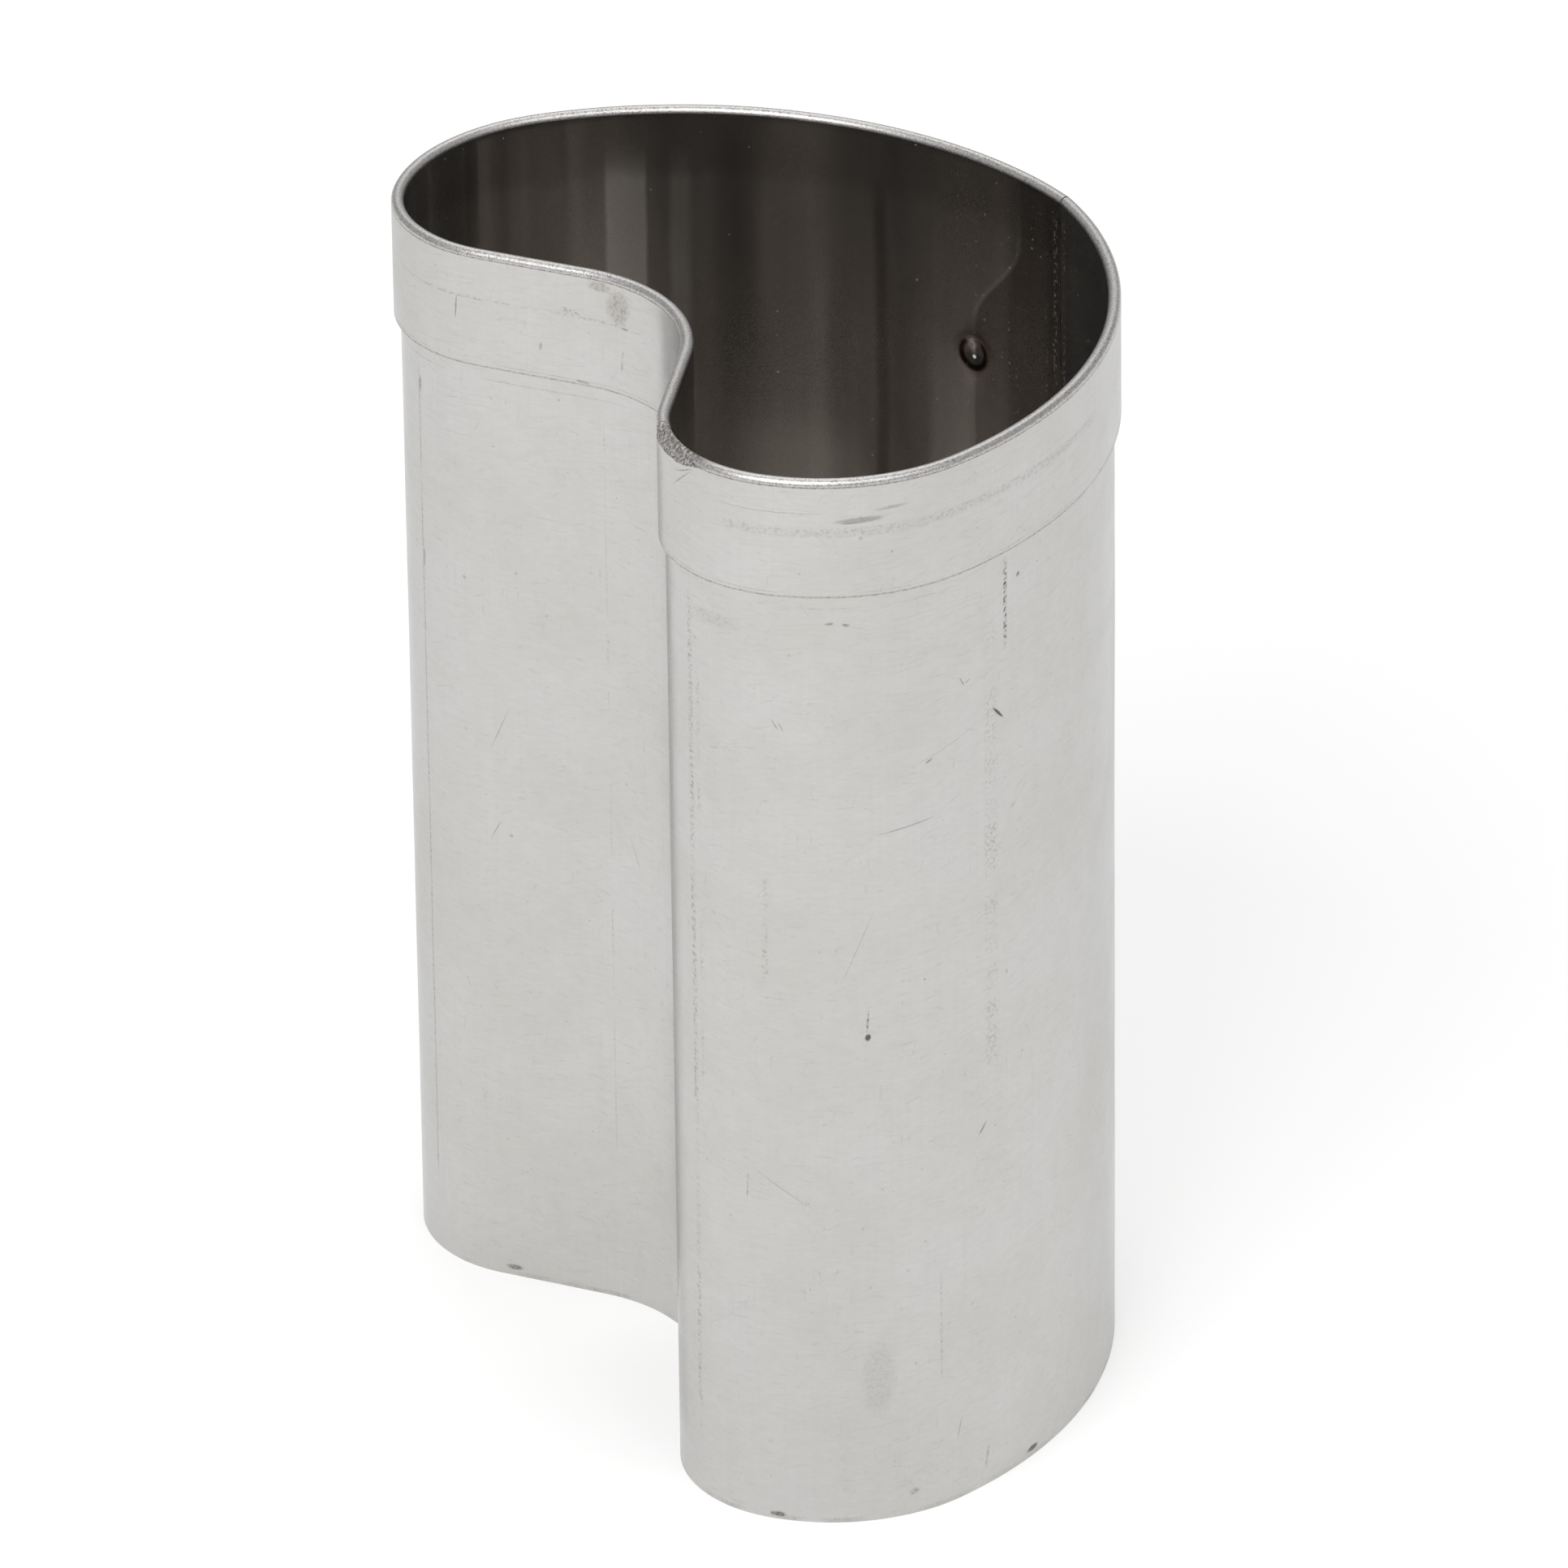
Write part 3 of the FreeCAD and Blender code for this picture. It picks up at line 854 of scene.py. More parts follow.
MARKS = (
    Mark(75.1, 58.4, 1.2, 0.14, -57.0, 0.75, 0.5),
    Mark(78.25, 58.55, 2.6, 0.1, 43.0, 0.65, 0.5),
    Mark(78.5, 59.1, 1.6, 0.1, 27.0, 0.65, 0.5),
    Mark(87.35, 57.78, 2.9, 0.42, 2.0, 0.5, 0.15),
    Mark(87.1, 57.66, 1.6, 0.12, 4.0, 0.7, 0.2),
    Mark(88.9, 58.3, 2.0, 0.24, 3.0, 0.35, 0.3),
    Mark(85.9, 51.9, 0.55, 0.2, 5.0, 0.6),
    Mark(86.7, 51.8, 0.45, 0.2, -8.0, 0.6),
    Mark(83.2, 46.1, 0.8, 0.1, -60.0, 0.5),
    Mark(83.5, 46.0, 0.7, 0.1, -62.0, 0.45),
    Mark(92.9, 47.2, 0.8, 0.1, -62.0, 0.6),
    Mark(93.3, 47.1, 0.6, 0.09, 20.0, 0.55),
    Mark(95.4, 44.5, 1.4, 0.2, -48.0, 1.0, 0.0),
    Mark(90.9, 43.4, 0.6, 0.14, 25.0, 0.85),
    Mark(92.0, 43.9, 5.5, 0.06, 17.0, 0.3),
    Mark(97.0, 51.6, 0.4, 0.3, 30.0, 0.8),
    Mark(87.6, 28.3, 0.4, 0.5, 0.0, 1.0, 0.0),
    Mark(87.6, 29.2, 1.8, 0.14, 86.0, 0.8, 0.7),
    Mark(50.4, 32.5, 3.3, 0.08, 67.0, 0.35),
    Mark(50.1, 26.6, 1.5, 0.1, 63.0, 0.4),
    Mark(58.2, 26.7, 2.4, 0.07, -70.0, 0.35),
    Mark(87.1, 33.4, 5.4, 0.06, 68.0, 0.35),
    Mark(89.7, 40.0, 3.8, 0.13, 7.0, 0.45),
    Mark(83.3, 19.5, 4.6, 0.07, -34.0, 0.4),
    Mark(81.5, 19.3, 2.0, 0.14, 88.0, 0.45, 0.8),
    Mark(94.2, 21.1, 1.0, 0.16, 48.0, 0.75),
    Mark(50.6, 0.5, 1.2, 0.4, 0.0, 0.8),
    Mark(98.0, 0.45, 1.1, 0.4, 5.0, 0.95, 0.1),
    Mark(82.9, 0.3, 1.0, 0.4, 0.0, 0.9),
    Mark(89.8, 1.3, 0.7, 0.5, 30.0, 0.55, 0.6),
    Mark(94.4, 1.7, 1.7, 0.3, 80.0, 0.35, 0.7),
    Mark(92.5, 4.2, 2.0, 0.08, 75.0, 0.45),
    Mark(88.0, 8.3, 5.5, 2.2, 88.0, 0.16, 0.5),
    Mark(80.0, 51.3, 4.0, 1.0, -3.0, 0.16, 0.7),
    Mark(57.9, 58.4, 2.5, 1.9, 80.0, 0.5, 0.55, True),
    Mark(56.7, 59.3, 1.8, 0.7, 0.0, 0.45, 0.5, True),
    Mark(54.9, 57.6, 1.6, 0.3, -12.0, 0.45, 0.95),
    Mark(58.1, 55.4, 1.8, 0.25, 85.0, 0.45, 0.9),
    Mark(58.3, 57.3, 0.7, 0.14, 0.0, 0.8),
    Mark(48.7, 56.7, 1.7, 0.1, 86.0, 0.7),
    Mark(53.3, 55.3, 0.6, 0.2, 80.0, 0.5),
    Mark(55.6, 53.7, 1.0, 0.2, -5.0, 0.5),
    Mark(45.7, 51.0, 1.2, 0.3, 85.0, 0.6),
    Mark(45.7, 41.0, 1.4, 0.25, 88.0, 0.6),
)

DIRT_AND_SHADE_LINES = (
    DirtAndShadeLine(True, 53.56, 0.0, 130.0, 0.12, 0.85, 0.6, 0.5, True),
    DirtAndShadeLine(True, 53.76, 0.0, 130.0, 0.08, 0.5, 0.35, 0.6, True),
    DirtAndShadeLine(True, 53.4, 0.0, 130.0, 0.12, 0.55, 0.35, 0.7, True),
    DirtAndShadeLine(True, 59.66, 0.0, 130.0, 0.14, 1.0, 0.8, 0.4),
    DirtAndShadeLine(True, 52.65, 40.0, 66.0, 0.1, 0.6, 0.25),
    DirtAndShadeLine(True, 52.75, 78.0, 130.0, 0.1, 0.35, 0.2),
    DirtAndShadeLine(True, 57.35, 44.0, 60.0, 0.16, 0.75, 0.3, 0.9),
    DirtAndShadeLine(True, 57.15, 80.0, 105.0, 0.6, 0.8, 0.22, 0.8),
    DirtAndShadeLine(True, 58.2, 80.0, 86.0, 0.07, 0.8, 0.35, 0.4),
    DirtAndShadeLine(True, 0.12, 0.0, 130.0, 0.35, 0.45, 0.3, 0.5),
    DirtAndShadeLine(False, 45.6, 4.0, 52.5, 0.16, 0.7, 0.42),
    DirtAndShadeLine(False, 56.6, 8.0, 52.0, 0.1, 0.5, 0.25, 0.8),
    # Painted shade: a broad, soft, unbroken darker band up the outside near the notch.
    DirtAndShadeLine(False, 75.6, 2.0, 53.0, 2.6, 1.0, 0.13, 0.0),
    DirtAndShadeLine(False, 78.2, 3.0, 52.5, 0.4, 0.6, 0.4, 0.95),
    DirtAndShadeLine(False, 78.8, 20.0, 51.0, 0.25, 0.4, 0.35, 0.95),
    DirtAndShadeLine(False, 82.6, 27.0, 39.0, 0.35, 0.4, 0.3, 0.95),
    DirtAndShadeLine(False, 94.9, 22.0, 50.5, 1.1, 0.45, 0.28, 1.0),
    DirtAndShadeLine(False, 96.0, 47.5, 53.3, 0.3, 0.9, 1.0, 0.9),
    DirtAndShadeLine(False, 91.4, 7.0, 15.0, 0.16, 0.5, 0.35, 0.8),
    DirtAndShadeLine(False, 49.1, 5.0, 13.5, 0.4, 0.4, 0.2, 0.8),
)


@dataclass(frozen=True)
class PaintedSheen:
    """An upright band of painted reflection on the inside, lighter than the rest, or darker where its
    strength is below 0.

    Args:
        along: place along the strip, in millimetres.
        width: width of the band.
        low: height at which it starts.
        high: height at which it ends.
        strength: how light it is, or how dark where it is below 0.
        edge: share of its width over which it fades out.
    """

    along: float
    width: float
    low: float
    high: float
    strength: float
    edge: float = 0.3


# Bands of painted reflection on the inside: light where the strength is above 0, dark below it.
PAINTED_SHEENS = (
    PaintedSheen(25.95, 2.4, 0.0, 58.5, 1.0, 0.12),
    PaintedSheen(23.2, 1.6, 0.0, 58.5, 0.5, 0.35),
    PaintedSheen(20.2, 3.4, 44.0, 60.0, -0.4, 0.4),
    PaintedSheen(17.2, 3.6, 43.0, 60.0, -0.3, 0.35),
    PaintedSheen(17.4, 7.6, 0.0, 43.5, 0.2, 0.25),
    PaintedSheen(12.4, 1.1, 30.0, 58.0, -0.65, 0.4),
    PaintedSheen(8.3, 3.4, 28.0, 50.0, 0.35, 0.25),
    PaintedSheen(35.0, 5.0, 0.0, 60.0, -0.3, 0.4),
)


class Effect(Group):
    """A shader group that reads a place on the sheet and gives a mask."""

    def __init__(self, name: str, **numbers: float) -> None:
        """Makes the group with a place and some numbers as its inputs.

        Args:
            name: the group's name.
            numbers: its other inputs, each with its value.
        """
        inputs = {"place": ("Vector", None)}
        inputs.update({title: ("Float", value) for title, value in numbers.items()})
        super().__init__(name, "ShaderNodeTree", inputs, "Mask", "Float")

    def cells(self, spot: Value) -> tuple[Wire, Wire, list[Wire]]:
        """Scattered cells over a plane.

        Args:
            spot: place in the plane, with the cells one unit apart.

        Returns:
            Each cell's own place, the distance to it, and three random numbers for it.
        """
        outputs = self.add("ShaderNodeTexVoronoi", spot, 1.0, voronoi_dimensions="2D").outputs
        place, distance, colour = (Wire(self, outputs[name]) for name in ("Position", "Distance", "Color"))
        return place, distance, self.split(colour)

    def broken(self) -> Wire:
        """What is left of a mark that breaks up into dots."""
        return 1.0 - (1.0 - self.given.grain) * self.given.dots


class RollingLines(Effect):
    """Fine lines that run up the sheet, as rolling and drawing leave them."""

    FACE_SHIFT = 7.0

    def __init__(self) -> None:
        """Builds the lines from noise that is stretched up the sheet."""
        super().__init__("rolling lines", spacing=0.3, length=12.0, seed=0.0)
        given = self.given
        x, y, z = self.split(given.place)
        spot = self.combine(x / given.spacing, y / given.length, z * self.FACE_SHIFT + given.seed)
        self.give(self.noise(spot, 1.0, 3.0))


class Scratches(Effect):
    """Thin scattered scratches, each with its own slope and strength."""

    FACE_SHIFT = 31.0
    SWAY = 1.2
    END = (0.18, 0.42)

    def __init__(self) -> None:
        """Builds the scratches, one to each scattered cell."""
        super().__init__("scratches", length=4.0, spread=1.5, width=0.04, tilt=0.0, fan=0.4,
                         share=0.5, seed=0.0)
        given = self.given
        x, y, z = self.split(self.turned(given.place, given.tilt))
        y = y + (self.noise(given.place, 0.3, 1.0) - 0.5) * self.SWAY
        shift = given.seed + z * self.FACE_SHIFT
        spot = self.combine(x / given.length + shift, y / given.spread + shift)
        place, _, luck = self.cells(spot)
        away = self.split(self.vector("SUBTRACT", spot, place))
        slope = (luck[2] - 0.5) * given.fan
        across = away[1] * given.spread + away[0] * given.length * slope
        thin = abs(across).ease(given.width * 0.3, given.width, 1.0, 0.0)
        ends = abs(away[0]).ease(*self.END, 1.0, 0.0)
        strength = (luck[0] < given.share) * (0.25 + luck[1])
        self.give((thin * ends * strength).least(1.0))


class Specks(Effect):
    """Small scattered spots of uneven size."""

    FACE_SHIFT = 13.0
    WOBBLE = (0.25, 0.25, 0.0)

    def __init__(self) -> None:
        """Builds the specks, one to each scattered cell."""
        super().__init__("specks", spread=1.0, diameter=0.15, share=0.4, seed=0.0)
        given = self.given
        wobble = self.result("ShaderNodeTexNoise", given.place, 4.0, output="Color")
        x, y, z = self.split(self.vector("ADD", given.place, self.vector("MULTIPLY", wobble, self.WOBBLE)))
        shift = given.seed + z * self.FACE_SHIFT
        spot = self.combine(x / given.spread + shift, y / given.spread)
        _, distance, luck = self.cells(spot)
        radius = given.diameter * (0.2 + luck[1] * 0.5)
        dot = (distance * given.spread).ease(radius * 0.5, radius, 1.0, 0.0)
        self.give(dot * (luck[0] < given.share) * (0.3 + luck[2] * 0.7))


class Handling(Effect):
    """Soft uneven patches, as handling leaves them."""

    def __init__(self) -> None:
        """Builds the patches from noise with a steeper slope."""
        super().__init__("handling", size=8.0, sharpness=0.5, seed=0.0)
        given = self.given
        moved = self.vector("ADD", given.place, self.combine(given.seed, given.seed, given.seed))
        spot = self.vector("DIVIDE", moved, self.combine(given.size, given.size, given.size))
        half = 0.32 - given.sharpness * 0.3
        self.give(self.noise(spot, 1.0, 5.0).ease(0.5 - half, 0.5 + half))


class OneMark(Effect):
    """One mark of a given place, size and slope."""

    def __init__(self) -> None:
        """Builds the mark, an oval with a ragged edge."""
        super().__init__("mark", along=0.0, height=0.0, length=2.0, width=0.3, tilt=0.0,
                         dots=0.3, strength=0.5, ragged=0.0, grain=0.0)
        given = self.given
        away = self.vector("SUBTRACT", given.place, self.combine(given.along, given.height))
        x, y, _ = self.split(self.turned(away, given.tilt))
        far = self.distance(x / (given.length * 0.5), y / (given.width * 0.5))
        body = (far + given.ragged * 0.5).ease(0.45, 1.0, 1.0, 0.0)
        self.give(body * self.broken() * given.strength)


class OneLine(Effect):
    """A thin broken line along X of the vector that it reads."""

    FADE = 1.5

    def __init__(self) -> None:
        """Builds the line, with breaks, a wandering course and ends that fade."""
        super().__init__("dirt and shade line", at=53.5, start=0.0, end=130.0, width=0.08, wander=0.08,
                         break_length=3.0, cover=0.6, dots=0.3, strength=0.5, ragged=0.0, grain=0.0)
        given = self.given
        x, y, _ = self.split(given.place)
        breaks = self.noise(self.combine(x / given.break_length, given.at), 1.0, 4.0)
        sway = (given.ragged + (breaks - 0.5)) * given.wander
        body = abs(y + sway - given.at).ease(given.width * 0.2, given.width * 0.6, 1.0, 0.0)
        edge = 0.8 - given.cover * 0.6
        cover = breaks.ease(edge - 0.1, edge + 0.1)
        first = x.ease(given.start, given.start + self.FADE)
        last = x.ease(given.end - self.FADE, given.end, 1.0, 0.0)
        self.give(body * cover * (first * last) * (self.broken() * given.strength))


class OneBand(Effect):
    """A soft upright band of a given place and width."""

    DRIFT_LENGTH = 12.0
    FADE_BELOW, FADE_ABOVE = 8.0, 3.0

    def __init__(self) -> None:
        """Builds the band, with a wandering course and ends that fade."""
        super().__init__("band", along=20.0, width=2.0, low=0.0, high=60.0, edge=0.3, sway=0.5)
        given = self.given
        x, y, _ = self.split(given.place)
        drift = self.noise(self.combine(0.0, y / self.DRIFT_LENGTH, given.along), 1.0, 2.0)
        x = x + (drift - 0.5) * given.sway
        half = given.width * 0.5
        body = abs(x - given.along).ease(half - given.width * given.edge, half, 1.0, 0.0)
        first = y.ease(given.low, given.low + self.FADE_BELOW)
        last = y.ease(given.high - self.FADE_ABOVE, given.high, 1.0, 0.0)
        self.give(body * (first * last))


class Effects:
    """The shader groups that the finishes share, each made once."""

    def __init__(self) -> None:
        """Makes the groups."""
        self.streaks = RollingLines()
        self.scratches = Scratches()
        self.specks = Specks()
        self.cloud = Handling()
        self.mark = OneMark()
        self.line = OneLine()
        self.band = OneBand()


@dataclass(frozen=True, kw_only=True)
class Finish:
    """A finish of the steel: its clean metal, and the layers that lie on it.

    Args:
        name: name of its material.
        colour: colour of the clean metal, as red, green and blue.
        roughness: roughness of the clean metal.
        metallic: share of the surface that is bare metal.
    """

    name: str
    colour: Colour
    roughness: float
    metallic: float = 1.0

    def build(self, effects: Effects) -> bpy.types.Material:
        """Makes the material.

        Args:
            effects: the shared shader groups.

        Returns:
            The material.
        """
        look = Look(self, effects)
        self.lay(look)
        return look.close()

    def lay(self, look: Look) -> None:
        """Lays the finish's own layers on the clean metal.

        Args:
            look: the look that they are laid on.
        """


class Look(Graph):
    """The nodes of a finish, built up in layers."""

    def __init__(self, finish: Finish, effects: Effects) -> None:
        """Starts from the clean metal.

        Args:
            finish: the finish, which says what the clean metal is.
            effects: the shared shader groups.
        """
        self.material = bpy.data.materials.new(finish.name)
        self.material.use_nodes = True
        super().__init__(self.material.node_tree)
        self.effects = effects
        self.shader = self.tree.nodes["Principled BSDF"]
        self.colour = self.result("ShaderNodeRGB")
        self.colour.socket.default_value = (*finish.colour, 1.0)
        self.metal: Value = finish.metallic
        self.rough: Value = finish.roughness
        self.relief: Value = 0.0
        self.place = self.result("ShaderNodeAttribute", output="Vector", attribute_name=Sheet.PLACE.value)
        self.x, self.y, self.z = self.split(self.place)
        solid = self.result("ShaderNodeTexCoord", output="Object")
        self.solid = self.vector("DIVIDE", solid, (MM, MM, MM))

    def effect(self, group: Effect, place: Value = None, **numbers: float | Wire) -> Wire:
        """Places a shared group with its own numbers.

        Args:
            group: the shared group.
            place: the vector that it reads, by default the place on the sheet.
            numbers: its other inputs.

        Returns:
            The group's mask.
        """
        node = self.add("ShaderNodeGroup", self.place if place is None else place, node_tree=group.tree)
        for name, value in numbers.items():
            self.feed(node.inputs[label(name)], value)
        return Wire(self, node.outputs[0])

    @cached_property
    def upright(self) -> Wire:
        """The place on the sheet with its height first, for a line that runs up."""
        return self.combine(self.y, self.x, self.z)

    def line(self, line: DirtAndShadeLine, grain: Wire, ragged: Value = 0.0) -> Wire:
        """Places one line of dirt or dust, or a band of painted shade.

        Args:
            line: the line.
            grain: what its dots follow.
            ragged: what its course follows.

        Returns:
            The line's mask.
        """
        place = self.place if line.level else self.upright
        return self.effect(
            self.effects.line, place, at=line.at, start=line.start, end=line.end, width=line.width,
            cover=line.cover, dots=line.dots, strength=line.strength, ragged=ragged, grain=grain)

    def tint(self, mask: Wire, colour: Colour, strength: float = 1.0) -> None:
        """Lays a colour over the metal where a mask says."""
        self.colour = self.result("ShaderNodeMix", mask * strength, self.colour, (*colour, 1.0),
                                  data_type="RGBA", blend_type="MIX")

    def shade(self, value: Wire, low: float, high: float, dark: float, light: float) -> None:
        """Scales the colour between two strengths as a value runs over its range."""
        scale = value.fit(low, high, dark, light)
        self.colour = self.vector("MULTIPLY", self.colour, self.combine(scale, scale, scale))

    def roughen(self, mask: Wire, amount: float) -> None:
        """Adds to the roughness where a mask says."""
        self.rough = self.rough + mask * amount

    def cover(self, mask: Wire, colour: Colour, strength: float = 1.0) -> None:
        """Lays dull dust over the metal where a mask says."""
        self.tint(mask, colour, strength)
        self.metal = self.metal * (1.0 - mask * strength)

    def raise_by(self, mask: Wire, height: float) -> None:
        """Adds relief in millimetres where a mask says."""
        self.relief = self.relief + mask * height

    def close(self) -> bpy.types.Material:
        """Joins the layers to the shader.

        Returns:
            The material.
        """
        bump = self.add("ShaderNodeBump")
        self.feed(bump.inputs["Strength"], 1.0)
        self.feed(bump.inputs["Distance"], MM)
        self.feed(bump.inputs["Height"], self.relief)
        for name, value in (("Base Color", self.colour), ("Metallic", self.metal),
                            ("Roughness", self.rough), ("Normal", bump.outputs[0])):
            self.feed(self.shader.inputs[name], value)
        return self.material


@dataclass(frozen=True)
class Scattering:
    """A layer of scattered scratches or specks.

    Args:
        spread: distance between them in millimetres.
        share: share of them that shows.
        strength: how dark they are, from 0 to 1.
        seed: number that their places follow from.
        length: length of a scratch.
        tilt: angle of the scratches from level, in degrees.
        diameter: size of a speck.
    """

    spread: float
    share: float
    strength: float
    seed: float
    length: float = 1.0
    tilt: float = 0.0
    diameter: float = 0.1


@dataclass(frozen=True, kw_only=True)
class OutsideFinish(Finish):
    """The outside: pale bright steel with the marks of years of use.

    Args:
        bloom: colour of the duller patches.
        edge_tint: colour that the steel mirrors at a flat angle.
        grime: colour of dirt and scratches, and of the band of painted shade near the notch.
        stain: colour of brown dirt.
        rubbed_heights: heights between which the rubbed lines set in.
        scratches: its layers of scratches.
        specks: its layers of specks.
        marks: its marks.
        lines: its lines of dirt, with one band of painted shade.
    """

    name: str = "steel_outside"
    colour: Colour = (0.56, 0.552, 0.541)
    bloom: Colour = (0.546, 0.534, 0.502)
    edge_tint: Colour = (0.86, 0.865, 0.87)
    grime: Colour = (0.15, 0.13, 0.115)
    stain: Colour = (0.21, 0.165, 0.135)
    roughness: float = 0.2
    rubbed_heights: tuple[float, float] = (44.0, 50.0)
    scratches: tuple[Scattering, ...] = (
        Scattering(0.5, 0.5, 0.1, 1.0, length=1.7, tilt=6.0),
        Scattering(0.8, 0.3, 0.09, 9.0, length=1.0, tilt=-28.0),
        Scattering(0.9, 0.3, 0.1, 5.0, length=1.3, tilt=84.0),
        Scattering(5.0, 0.25, 0.1, 13.0, length=6.0, tilt=20.0),
    )
    specks: tuple[Scattering, ...] = (
        Scattering(0.7, 0.25, 0.4, 4.0, diameter=0.1),
        Scattering(3.0, 0.3, 0.4, 11.0, diameter=0.2),
    )
    marks: tuple[Mark, ...] = MARKS
    lines: tuple[DirtAndShadeLine, ...] = DIRT_AND_SHADE_LINES

    def lay(self, look: Look) -> None:
        """Lays uneven patches, wiped lines, scratches and marks on the metal.

        Args:
            look: the look that they are laid on.
        """
        effects = look.effects
        look.feed(look.shader.inputs["Specular Tint"], (*self.edge_tint, 1.0))
        fine = look.effect(effects.streaks, spacing=0.2, length=9.0, seed=3.0)
        look.shade(fine, 0.3, 0.7, 0.988, 1.012)
        patches = look.effect(effects.cloud, size=6.0, sharpness=0.45, seed=2.0)
        look.tint(patches, self.bloom, 0.6)
        look.roughen(patches, 0.1)
        mottle = look.effect(effects.cloud, size=1.1, sharpness=0.3, seed=7.0)
        look.shade(mottle, 0.0, 1.0, 0.985, 1.01)
        wiped = look.noise(look.combine(look.y * 4.0, look.x, look.z), 1.6, 5.0)
        look.shade(wiped, 0.35, 0.7, 1.012, 0.97)
        self.scratch(look)
        self.mark(look)
        look.raise_by(look.noise(look.solid, 5.0, 4.0), 0.0012)
        look.raise_by(fine, 0.0012)

    def scratch(self, look: Look) -> None:
        """Adds the lines that rubbing left below the rim, and the scattered scratches and specks.

        Args:
            look: the look that they are laid on.
        """
        effects = look.effects
        rubbed = look.effect(effects.scratches, length=5.0, spread=0.3, width=0.06, tilt=3.0,
                             fan=0.15, share=0.55, seed=17.0)
        look.tint(rubbed * look.y.ease(*self.rubbed_heights), self.grime, 0.05)
        broken = look.noise(look.place, 3.5, 4.0).ease(0.4, 0.62)
        for layer in self.scratches:
            mask = look.effect(effects.scratches, length=layer.length, spread=layer.spread, width=0.07,
                               tilt=layer.tilt, fan=0.8, share=layer.share, seed=layer.seed)
            look.tint(mask * broken, self.grime, layer.strength)
        for layer in self.specks:
            mask = look.effect(effects.specks, spread=layer.spread, diameter=layer.diameter,
                               share=layer.share, seed=layer.seed)
            look.tint(mask * broken, self.grime, layer.strength)

    def mark(self, look: Look) -> None:
        """Adds the marks and lines of dirt that have their own places, and the band of painted shade near
        the notch.

        Args:
            look: the look that they are laid on.
        """
        ragged = look.noise(look.place, 3.0, 3.0) - 0.5
        grain = look.noise(look.place, 5.0, 5.0).ease(0.47, 0.62)
        total: dict[bool, Value] = {False: 0.0, True: 0.0}
        for line in self.lines:
            mask = look.line(line, grain, ragged)
            total[line.stain] = look.math("MAXIMUM", total[line.stain], mask)
        for mark in self.marks:
            mask = look.effect(
                look.effects.mark, along=mark.along, height=mark.height, length=mark.length,
                width=mark.width, tilt=mark.tilt, dots=mark.dots, strength=mark.strength,
                ragged=ragged, grain=grain)
            total[mark.stain] = look.math("MAXIMUM", total[mark.stain], mask)
        for stained, colour in ((False, self.grime), (True, self.stain)):
            look.tint(total[stained], colour)
            look.roughen(total[stained], 0.2)


